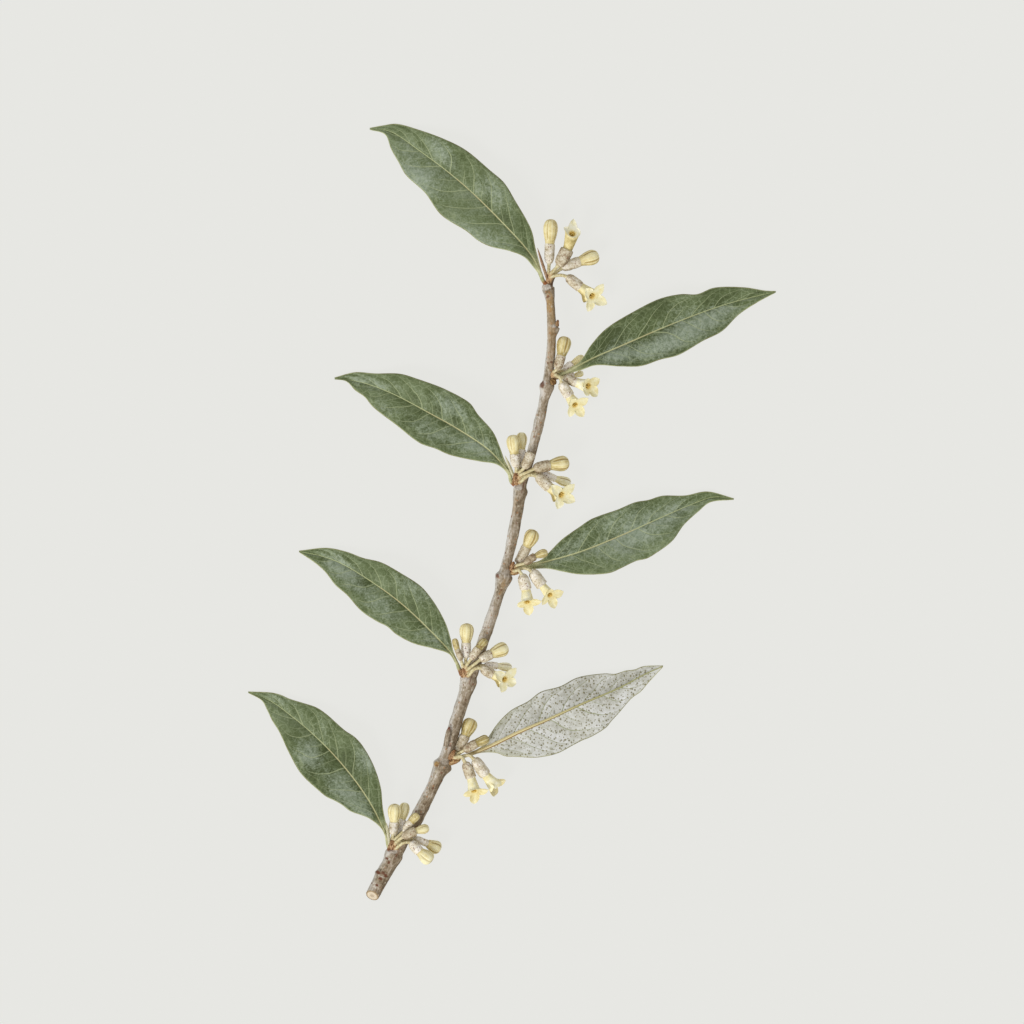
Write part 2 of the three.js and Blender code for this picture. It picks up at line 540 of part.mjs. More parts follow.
// Four even corners for each lobe: the notch before it, its first shoulder, its tip, and its other
// shoulder, all turned so that the tips lie as near to their lobes as they can.
function lobeAngles(lobes) {
  const quarter = (2 * Math.PI) / lobes.length;
  const turn = lobes.reduce((sum, lobe, i) => sum + lobe.angle - i * quarter, 0) / lobes.length;
  return lobes.flatMap((_, i) => [-2, -1, 0, 1].map((step) => turn + (i + step / 4) * quarter));
}

// A lobe's tip or one of its shoulders, which keep clear of the lobes beside it.
function lobeCorner(lobe, place, room, flower, mouth, facing) {
  const length = lobe.tip.length();
  const reach = place === 0 ? length : THREE.MathUtils.lerp(flower.head, length, FLOWER.shoulderReach);
  const halfWidth = Math.min(FLOWER.lobeHalfWidth, reach * Math.tan(room * FLOWER.shoulderRoom));
  const wide = new THREE.Vector3().crossVectors(facing, lobe.tip).normalize();
  return mouth.clone()
    .addScaledVector(lobe.tip, reach / length)
    .addScaledVector(wide, place * halfWidth);
}

// The outline of the spread lobes: a notch on the rim, then a lobe's shoulder, tip and shoulder.
function lobeOutline(flower, lobes, angles, mouth, facing) {
  const notches = ringAt(mouth, facing, flower.head, angles);
  return notches.map((notch, i) => {
    const lobe = lobes[Math.floor(i / 4)];
    const place = (i % 4) - 2;
    const room = Math.PI / lobes.length + place * (angles[i - place] - lobe.angle);
    return place === -2 ? notch : lobeCorner(lobe, place, room, flower, mouth, facing);
  });
}

function openFlowerGeometry(flower) {
  const path = curve(flower.path);
  const neck = flower.path.length - 3;
  const mouthPlace = placeOn(path, neck + 2);
  const tilt = flower.tilt ?? FLOWER.mouthTilt;
  const facing = mouthPlace.ahead.clone().addScaledVector(UP, tilt).normalize();
  const lobes = orderedLobes(flower, facing);
  const angles = lobeAngles(lobes);
  const rings = stalkAndBase(flower, path, angles, OPEN_BASE);
  TUBE.forEach(([spot, share, turned]) => {
    const { centre, ahead } = placeOn(path, neck + spot);
    rings.push(ringAt(centre, ahead.lerp(facing, turned).normalize(), flower.head * share, angles));
  });
  const mouth = mouthPlace.centre;
  const shifted = (ring, distance) => ring.map((point) => point.clone().addScaledVector(facing, distance));
  const outline = lobeOutline(flower, lobes, angles, mouth, facing);
  const throat = flower.head - FLOWER.tubeWall;
  rings.push(shifted(ringAt(mouth, facing, flower.head, angles), -FLOWER.lobeThickness));
  rings.push(shifted(outline, -FLOWER.lobeThickness / 2));
  rings.push(shifted(outline, FLOWER.lobeThickness / 2));
  rings.push(ringAt(mouth, facing, throat, angles));
  const bottom = placeOn(path, neck + 2 - FLOWER.throatDepth);
  const inward = bottom.ahead.lerp(facing, FLOWER.throatTurn).normalize();
  rings.push(ringAt(bottom.centre, inward, throat * FLOWER.throatNarrowing, angles));
  return loft(rings);
}

// ---------------------------------------------------------------- small pieces

function smallPieceGeometry(piece) {
  const from = vector(piece.from);
  const to = vector(piece.to);
  const ahead = to.clone().sub(from).normalize();
  const profile = {
    scale: [[0, 0.6], [0.3, 1.0], [0.7, 0.85], [1, 0.35]],
    bud: [[0, 0.75], [0.35, 1.0], [0.75, 0.9], [1, 0.4]],
    bract: [[0, 1.0], [0.5, 1.0], [1, 0.4]],
  }[piece.kind];
  const rings = profile.map(([share, width]) => {
    const centre = from.clone().lerp(to, share);
    return ringAt(centre, ahead, piece.radius * width, evenAngles(6));
  });
  return loft(rings);
}

// ---------------------------------------------------------------- the sprig

function named(name, geometry, surface) {
  const mesh = new THREE.Mesh(geometry, surface);
  mesh.name = name;
  return mesh;
}

const sprig = new THREE.Group();
sprig.add(named('twig', twigGeometry(), MATERIALS.bark()));
LEAVES.forEach((leaf) => {
  const surface = leaf.underside ? MATERIALS.leafBack() : MATERIALS.leafTop();
  sprig.add(named(leaf.name, leafGeometry(leaf), surface));
});
FLOWERS.forEach((flower) => {
  const geometry = flower.lobes ? openFlowerGeometry(flower) : budGeometry(flower);
  sprig.add(named(flower.name, geometry, MATERIALS.flower()));
});
SMALL_PIECES.forEach((piece) => {
  sprig.add(named(piece.name, smallPieceGeometry(piece), MATERIALS[piece.kind]()));
});

export default sprig;
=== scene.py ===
"""A flowering sprig of autumn olive lying on a pale surface, seen from straight above.

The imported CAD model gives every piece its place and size. Lengths here are millimetres, as in the
CAD source, and become metres only when a mesh is made.
"""
import math

import bpy
import numpy as np
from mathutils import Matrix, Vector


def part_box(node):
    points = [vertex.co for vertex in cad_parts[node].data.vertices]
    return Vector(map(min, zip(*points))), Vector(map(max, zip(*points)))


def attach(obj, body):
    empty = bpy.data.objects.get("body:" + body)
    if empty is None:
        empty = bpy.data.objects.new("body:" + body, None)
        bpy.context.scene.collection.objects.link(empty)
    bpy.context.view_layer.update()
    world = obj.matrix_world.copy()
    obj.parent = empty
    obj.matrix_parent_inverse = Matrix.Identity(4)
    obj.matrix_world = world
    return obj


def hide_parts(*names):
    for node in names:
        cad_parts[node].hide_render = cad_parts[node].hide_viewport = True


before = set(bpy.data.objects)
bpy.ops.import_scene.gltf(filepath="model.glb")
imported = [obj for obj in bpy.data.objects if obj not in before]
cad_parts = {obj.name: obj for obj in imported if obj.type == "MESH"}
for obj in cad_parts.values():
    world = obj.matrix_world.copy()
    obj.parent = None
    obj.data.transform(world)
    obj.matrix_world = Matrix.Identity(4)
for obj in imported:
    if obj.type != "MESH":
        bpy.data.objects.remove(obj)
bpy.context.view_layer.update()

MM = 0.001
UP = np.array([0.0, 0.0, 1.0])
# Flowers and buds get painted shade on the side that faces this way, towards the foot of the picture.
SHADED_WAY = np.array([0.3, -0.95, 0.0])
# The box of a detailed piece may differ this much from that of the CAD node it stands for. It is a
# loose limit: bud_3a differs by 3.04 mm, mainly at its foot, and many pieces by more than 1.2 mm.
FIT_LIMIT = 3.5

# ---------------------------------------------------------------- the twig's numbers

CUT_RADIUS = 1.76
END_RADIUS = 1.03
TIP_RADIUS = 0.35
# As a share of the twig's length.
TIP_LENGTH = 0.015
CUT_SLANT = 1.2
CUT_DEPTH = 0.12
# How much thicker the twig is at a node, and how far that runs out below and above it.
SWELLING = 0.5
SWELLING_BELOW = 2.6
SWELLING_ABOVE = 0.75
TWIG_STATIONS = 640
TWIG_SIDES = 48
TWIG_PATH = [
    (-35.2, -96.05, 1.7), (-31.2, -88.5, 2.3), (-28.6, -83.9, 2.9), (-24.4, -77.3, 3.6),
    (-20.5, -69.8, 4.2), (-17.2, -62.5, 4.8), (-14.1, -52.3, 5), (-10.9, -42.3, 5.2), (-8.2, -34.8, 5.3),
    (-5.2, -26, 5.4), (-2.2, -16, 5.5), (0.8, -1.5, 5.5), (1.9, 5.2, 5.5), (5.5, 17.8, 5.4),
    (8.5, 31.8, 5.3), (9.8, 44.5, 5.3), (9.2, 54, 5.2), (8.9, 56.3, 5.2), (10.3, 58.5, 5.2),
]
TWIG_NODES = [55.6, 31.4, 5.2, -16.4, -42.4, -63.8, -86.0]

# Bulges on the twig: place along Y, angle in degrees from its left side over the top, height, and
# how far it runs out towards the cut end and towards the tip.
TWIG_BULGES = [
    (56.2, 20, 0.3, 1.8, 0.3), (31.6, 150, 0.3, 2.2, 0.8), (30.9, 20, 0.3, 1, 0.8),
    (6, 30, 0.2, 2.2, 0.3), (-16, 170, 0.35, 2.2, 0.7), (-16.4, 10, 0.35, 1, 0.8),
    (-41.6, 30, 0.4, 2.2, 0.3), (-63, 20, 0.5, 0.9, 0.8), (-62.9, 165, 0.35, 2.4, 0.7),
    (-85.2, 30, 0.35, 2, 0.3), (45.6, 168, 1, 1.5, 0.4), (-91.1, 12, 0.26, 0.4, 0.35),
    (-90.4, 70, 0.22, 0.35, 0.3), (-91.2, 110, 0.25, 0.3, 0.3), (46.5, 2, 0.28, 6, 5),
    (19, 5, 0.15, 3, 5), (19, 175, 0.15, 3, 5), (1.5, 175, 0.25, 3.5, 3), (-84, 175, 0.25, 2, 1.5),
    (-88, 5, -0.35, 1.5, 2), (-65.5, 175, -0.35, 1.2, 1.2),
]

# Marks on the bark seen from above, by the colour field they go into: x, y, half length across the
# twig, half length along it and strength.
BARK_MARKS = {
    "pale": [(-6, -30, 1.6, 6, 0.12)],
    "orange": [(9.6, 42, 0.9, 5.5, 0.4), (9, 51.1, 0.75, 1.6, 0.85), (10, 50.5, 0.35, 4, 0.5),
        (8.9, 54.2, 0.5, 1, 0.5), (-33.6, -92, 0.2, 0.2, 1), (-19.1, -63.2, 0.6, 0.65, 0.95),
        (9.4, 48, 0.9, 6, 0.62), (9.5, 38, 0.5, 3, 0.35), (8.8, 52.4, 0.5, 1.8, 0.6),
        (0.3, 1.2, 0.35, 2.4, 0.4), (-2.6, -19, 0.45, 2, 0.45)],
    "scar": [(8.6, 53.4, 0.35, 0.3, 0.7), (-7.3, -29.1, 0.8, 0.12, 0.5), (-33.7, -90.3, 0.6, 0.36, 1),
        (-32.5, -90.4, 0.5, 0.34, 0.85), (-31.8, -91.1, 0.5, 0.3, 1), (-33.1, -91.9, 0.5, 0.34, 1),
        (-34, -93.5, 0.38, 0.3, 0.95), (-31.5, -86.8, 0.45, 0.3, 0.95), (-31, -87.8, 0.28, 0.36, 0.85),
        (5.75, 20.7, 0.25, 0.4, 0.5), (5.5, 18.5, 0.25, 0.35, 0.4), (7.3, 31.6, 0.5, 0.85, 0.85),
        (-3.9, -16.2, 0.4, 0.55, 0.8), (-19, -63.6, 0.35, 0.3, 0.7), (9.6, 56.6, 0.15, 1.3, 0.75),
        (2.5, 6, 0.15, 1.5, 0.7), (-10.6, -42, 0.15, 1.5, 0.7), (-29, -85.9, 0.15, 1.6, 0.7)],
    "collar": [(10.25, 46.2, 0.8, 0.28, 1), (-33.1, -91.3, 0.85, 0.16, 0.8),
        (-30.9, -86.9, 0.25, 0.25, 0.8), (8.3, 56, 1.4, 0.75, 1), (1, 6, 1.3, 0.75, 1),
        (-12.1, -41.8, 1.2, 0.85, 1), (-30.2, -84.6, 1.3, 0.75, 1), (-17.2, -62.6, 1.2, 0.7, 0.4),
        (-1.3, -15.6, 1.1, 1, 0.4)],
}
# How pale the bark is along the twig: place along Y and amount.
BARK_TONE = [(-65, -0.05), (-50, 0), (-34, 0.16), (-28, 0.14), (-20, 0), (-7, 0.1), (5, -0.1),
             (17, 0.1), (28, 0.05), (36.5, 0.2), (44, 0.06), (52, -0.16)]

# Where the leaf stalk and the flower stalks of each node run into the twig.
ROOTS = {
    "1": ((8.3, 56.6, 5.7), (9.1, 57.2, 5.8)),
    "2": ((10.2, 33.4, 5.4), (9.6, 33.4, 5.6)),
    "3": ((0.5, 6.5, 5.8), (1.5, 7.2, 6)),
    "4": ((0.6, -14.5, 4.8), (-0.2, -14.6, 5.6)),
    "5": ((-12.8, -40.9, 5.8), (-11.7, -41, 6)),
    "6": ((-14.6, -61.9, 4.9), (-15.2, -61.6, 5.4)),
    "7": ((-30.8, -84.7, 4.4), (-29.7, -84.2, 4.8)),
}

# ---------------------------------------------------------------- the leaves' numbers

# What a leaf has unless its own row says otherwise. blade is half its thickness.
LEAF = dict(petiole=0.5, blade=0.1, camber=0.35, waves=2.5, quilting=0.14, veins=8.5, tone=0.0,
            underside=False)
# The veins of the right half leave the rib this share of a step after those of the left half.
VEIN_TURNS = (0.0, 0.45)
LEAF_STATIONS = 150
STALK_STATIONS = 20
HALF_COLUMNS = 31

LEAVES = [
    dict(name="leaf_1", foot=(7.5, 57.6, 5.6), lift=(1.5, 1.1), wave=0.45, phase=0.4, tone=-0.03, veins=8,
         rib=[(6.7, 59.8, 5.8), (4.3, 64.2, 5.7), (-3.2, 72.6, 4.6), (-13.2, 82.2, 2.8),
              (-23.2, 89.9, 1.2), (-30.8, 94.9, 0.2), (-35.8, 95.5, 0)],
         left=[(6.25, 59.4), (5, 61), (2.8, 63.4), (-0.8, 64.9), (-5.8, 66.1), (-8.8, 67.6),
               (-11.5, 69.8), (-18, 74), (-22, 79.5), (-26.8, 84), (-28.7, 87.3), (-30.5, 90.5),
               (-32, 94.1), (-35.8, 95.3)],
         right=[(7.1, 60), (5.6, 65.8), (4.6, 70.2), (0.4, 77.8), (-2.2, 82), (-5.8, 85.2), (-11.8, 90.2),
                (-16.8, 92.8), (-23.2, 95.2), (-29.2, 96.8), (-32.5, 96.4), (-35.8, 95.8)]),
    dict(name="leaf_2", foot=(11.5, 33.9, 5.3), lift=(1.2, 1.6), wave=0.4, phase=2.1, tone=-0.3,
         rib=[(13.5, 34.7, 5.3), (19.2, 37.8, 5.3), (27.8, 41.6, 4.4), (39.2, 46.5, 2.8),
              (50.5, 50.8, 1.2), (58, 53, 0.3), (65.7, 54.8, 0)],
         left=[(13.3, 35.2), (16.8, 37.5), (19.5, 41.5), (23.2, 45.5), (30.8, 50.2), (36.8, 53.1),
               (42, 54.2), (46, 54.2), (50.2, 55.8), (58, 55.9), (63.2, 55.1), (65.7, 55)],
         right=[(13.7, 34.3), (16.8, 35.1), (20.5, 36.35), (26.8, 36.1), (32, 36.2), (36.8, 37.8),
                (41.2, 38.9), (47.5, 42.5), (52.2, 44.9), (56.5, 49.1), (61.2, 52.2), (65.7, 54.6)]),
    dict(name="leaf_3", foot=(-0.4, 7.3, 5.6), lift=(1.6, 1.2), wave=0.45, phase=1.2, tone=-0.17,
         rib=[(-1, 9.6, 5.7), (-5.8, 15, 5.5), (-13.2, 20.1, 4.7), (-20.8, 24.4, 3.5), (-30.8, 29.6, 1.5),
              (-38.2, 32.2, 0.4), (-44.6, 33.1, 0)],
         left=[(-1.4, 9.3), (-2.4, 10.5), (-4.3, 11.7), (-8.5, 12.4), (-15.8, 14), (-19.5, 15.6),
               (-23.2, 16.9), (-29.2, 21.5), (-35, 26), (-37.1, 28.5), (-39.5, 30.2), (-41.7, 32.4),
               (-44.6, 32.9)],
         right=[(-0.6, 9.9), (-2.2, 13), (-3.2, 15.8), (-5, 19.8), (-8.8, 24.2), (-10.6, 26.8),
                (-13.1, 28.5), (-15.6, 29.8), (-18.2, 31), (-23.2, 32.8), (-28.2, 34.3), (-34.5, 34.4),
                (-39.5, 34.7), (-44.6, 33.4)]),
    dict(name="leaf_4", foot=(1.7, -13.9, 4.2), lift=(1.3, 1.5), wave=0.45, phase=0, tone=-0.15,
         petiole=0.66,
         rib=[(4.2, -13.6, 4.3), (9.2, -12.4, 4.3), (16.8, -10.2, 3.9), (26.8, -6.2, 2.9),
              (36.2, -2, 1.7), (45, 1.8, 0.6), (50.2, 3.5, 0.1), (55.2, 3, 0)],
         left=[(4.2, -13), (7, -12.2), (9.5, -9.8), (12.2, -7.1), (16.7, -3.9), (19.2, -2.2),
               (21.8, -1.1), (26.2, 0.4), (30.5, 2.2), (33.9, 2.8), (37.2, 3.8), (43, 3.9), (48.5, 4.9),
               (55.2, 3.2)],
         right=[(4.2, -14.55), (8.6, -14.4), (12.2, -15.1), (16.2, -15.8), (21.8, -15.8), (24.5, -15.4),
                (26.8, -14.4), (30.8, -12.5), (33.4, -11.9), (35.8, -10.5), (39.8, -7.5), (42.8, -3.4),
                (46.4, -0.1), (49.2, 2.1), (55.2, 2.8)]),
    dict(name="leaf_5", foot=(-13.5, -39.3, 5.5), lift=(1.4, 1.3), wave=0.4, phase=2.6, tone=-0.15,
         rib=[(-14.1, -38, 5.6), (-15.8, -35.2, 5.6), (-20.8, -29.8, 5), (-28.2, -22.9, 3.7),
              (-35.8, -17.4, 2.2), (-43.2, -13, 0.8), (-48.2, -11.2, 0.2), (-53.5, -10.1, 0)],
         left=[(-14.35, -38.2), (-15.9, -35.8), (-19.8, -34.4), (-24.8, -33.1), (-29.2, -30.8),
               (-31.4, -28.9), (-34, -27.6), (-38, -24.9), (-41.5, -21), (-44.5, -18.4), (-46.8, -15.4),
               (-49.2, -13.2), (-53.5, -10.3)],
         right=[(-13.7, -37.7), (-14.9, -35), (-15.5, -32.2), (-16.7, -28.3), (-19, -23.9),
                (-20.8, -21.3), (-23, -18.8), (-28.2, -15.4), (-33, -12.8), (-37.5, -11.7),
                (-41.5, -10.2), (-46.5, -9.2), (-53.5, -9.9)]),
    dict(name="leaf_6", foot=(-13.2, -61.5, 4.6), lift=(-1.5, -2), wave=0.4, phase=1, quilting=0.04,
         underside=True,
         rib=[(-10.8, -60.8, 4.7), (-5.8, -58.8, 4.9), (1.8, -55.1, 4.8), (9.2, -51.9, 4.3),
              (16.8, -48.4, 3.5), (26.8, -44.1, 2), (33, -40.8, 0.8), (37.5, -38.8, 0)],
         left=[(-11, -60.4), (-7.8, -58.8), (-6, -56.2), (-3.8, -53), (-0.5, -49.8), (3.8, -47.5),
               (6.9, -45.2), (11.8, -43.8), (16.2, -41.6), (23, -40.6), (25.5, -40.7), (28.1, -39.9),
               (30.4, -39.6), (32.6, -38.8), (37.5, -38.6)],
         right=[(-10.6, -61.2), (-7.8, -60.4), (-4, -60.5), (-1.9, -61.3), (0.5, -61.4), (6, -61.6),
                (11, -60.6), (14.9, -58.6), (17.2, -57.4), (19.6, -56.4), (23.4, -54), (24.6, -52.5),
                (26.2, -50.8), (29.7, -46.8), (31.9, -45.2), (33.8, -43), (37.5, -39)]),
    dict(name="leaf_7", foot=(-31.1, -83.8, 3.5), lift=(1.5, 1.2), wave=0.4, phase=3.4, tone=-0.16,
         veins=8,
         rib=[(-31.8, -81.2, 3.7), (-34.5, -75.1, 4.1), (-38.2, -69.1, 3.9), (-44.2, -61.6, 2.9),
              (-50.2, -55.6, 1.6), (-56, -50.8, 0.6), (-60.8, -47.4, 0.1), (-66.2, -45.3, 0)],
         left=[(-31.9, -81.5), (-32.8, -79.5), (-35.8, -76.9), (-40.8, -74.9), (-42.6, -73.5),
               (-44.5, -72.4), (-46.6, -71.4), (-48.5, -69.9), (-53, -65.6), (-55.8, -60.8),
               (-58.5, -55.1), (-60.2, -52.4), (-61.4, -49.9), (-62.8, -47.4), (-66.2, -45.5)],
         right=[(-30.95, -80.9), (-31.55, -78.7), (-32.5, -74.2), (-33, -69.2), (-34.8, -63.6),
                (-37.6, -58.6), (-39.6, -56.4), (-42, -54.8), (-46.8, -50.6), (-49.3, -49), (-52, -48.1),
                (-55.9, -46.9), (-57.9, -46), (-60.2, -45.4), (-66.2, -45.1)]),
]

# Silvery bloom on each leaf: x, y, half length, half width, its direction in degrees, strength.
# The rest of the leaf has the least bloom.
LEAST_BLOOM = -0.17
BLOOM_STRENGTH = 1.12
SILVER = {
    "leaf_1": [(-24, 83, 7, 5, -40, 0.8), (-18, 90, 6, 2.2, -50, 0.8), (-5.5, 80, 6, 4, -45, 0.7),
               (-9, 68.5, 9, 3, -20, 0.6), (-27, 91, 3, 2, 0, 0.3), (0, 73, 6, 3, -60, 0.3)],
    "leaf_2": [(42, 44.5, 11, 3.5, 25, 0.9), (25, 39, 5, 2.5, 20, 0.7), (33, 39.5, 8, 2.5, 10, 0.6),
               (27, 44, 5, 3, 35, 0.3), (52, 50, 6, 2, 20, 0.3), (41, 50.5, 3, 2, 20, 0.3)],
    "leaf_3": [(-36, 32, 7, 1.5, -10, 0.6), (-17, 26.5, 5, 3, -50, 0.6), (-8, 16, 9, 2.5, -15, 0.7),
               (-22, 20.5, 7, 3, -30, 0.5), (-13, 25, 4, 2, -50, 0.4), (-32, 26, 4, 2, -40, 0.4),
               (-8, 21, 4, 3, -50, 0.4)],
    "leaf_4": [(33, -4, 8, 4.5, 25, 0.7), (24, -8, 8, 5, 20, 0.5), (12, -11, 7, 3, 20, 0.6),
               (25, -1.5, 7, 2.5, 25, 0.5), (42, 1, 5, 2.5, 20, 0.5), (15, -7, 6, 2, 40, 0.3)],
    "leaf_5": [(-43, -14, 6, 2.5, -40, 0.8), (-34, -23, 8, 3, -40, 0.5), (-20, -21, 6, 4, -50, 0.5),
               (-20, -32, 6, 2.5, -20, 0.6), (-27, -18, 5, 3, -40, 0.4), (-16, -30, 4, 2, -60, 0.4)],
    "leaf_7": [(-51, -61, 4, 4, -50, 0.8), (-42, -70, 8, 3.5, -45, 0.7), (-36, -62, 5, 4, -60, 0.8),
               (-58, -47, 5, 2, -20, 0.4), (-37, -75, 3, 2, -40, 0.5), (-47, -54, 4, 3, -30, 0.3)],
}

# Painted light and shade on each half of a green leaf, lighter or darker as the light falls on it:
# place along the blade, left half, right half.
PAINTED_LEAF_LIGHT = {
    "leaf_1": [(0.1, 0, -0.17), (0.2, 0.12, -0.15), (0.45, 0.14, -0.06), (0.9, 0.14, 0)],
    "leaf_2": [(0.1, -0.13, 0), (0.3, -0.1, -0.2), (0.45, 0.1, -0.15), (0.65, 0.05, 0.22),
               (0.9, 0.08, 0.25)],
    "leaf_3": [(0.15, 0.15, -0.25), (0.3, 0.04, -0.05), (0.55, 0, 0.02), (0.75, 0.06, 0.14)],
    "leaf_4": [(0.1, -0.3, 0.05), (0.25, -0.18, 0), (0.45, -0.18, 0.18), (0.6, 0.05, 0.15),
               (0.8, 0.02, 0.25)],
    "leaf_5": [(0.1, 0, -0.18), (0.3, 0.02, -0.02), (0.45, 0.2, 0.08), (0.6, 0.08, -0.02),
               (0.8, 0.2, 0.02)],
    "leaf_7": [(0.15, 0, -0.1), (0.35, 0.1, -0.02), (0.5, -0.15, 0.03), (0.65, 0.1, 0.05),
               (0.8, 0.13, 0.1)],
}

# ---------------------------------------------------------------- the flowers' numbers

STALK_RADIUS = 0.41
STALK_FOOT_RADIUS = 0.5
BUD_SIDES = 52
OPEN_SIDES = 80
LOBE_THICKNESS = 0.2
# A lobe's shoulder lies this share of the way from the mouth's rim to its tip, and fills this share
# of the room up to the next lobe.
SHOULDER_REACH = 0.35
SHOULDER_ROOM = 0.86
# The front of the lobes begins this many rows in from the tube.
LIMB_START = 8

# What a flower or bud has unless its own row says otherwise. shade, base_shade and limb are painted
# shade and light, partly for each one's own colour: they darken its head, its silvery base and the
# front of its lobes, and lighten them below zero. gold colours its mouth. turn is where a bud's seams
# lie, in degrees, and seams how strong they are. spots and scurf put dots and silver on a bud's head.
# neck and full make a bud's head and any base fuller at their lower end. tail draws out one corner of
# the mouth and paints shade on the tube beside it, tilt turns the mouth upwards, and lobe_width is
# half the most it can be.
FLOWER = dict(shade=0.0, base_shade=0.0, limb=0.1, gold=0.14, turn=8, seams=0.65, spots=0.0,
              scurf=0.0, neck=0.0, full=0.0, tail=0.0, tilt=1.5, lobe_width=1.3)


def bloom(name, base, head, path, lobes=None, **own):
    """A bud, or an open flower if it has lobes, each given by where its tip is from the mouth.

    base and head are the greatest radii of its silvery base and of the rest. The path is its middle
    line, as in the CAD: the stalk, then neck, waist and end.
    """
    return {**FLOWER, "name": name, "base": base, "head": head, "path": path, "lobes": lobes, **own}


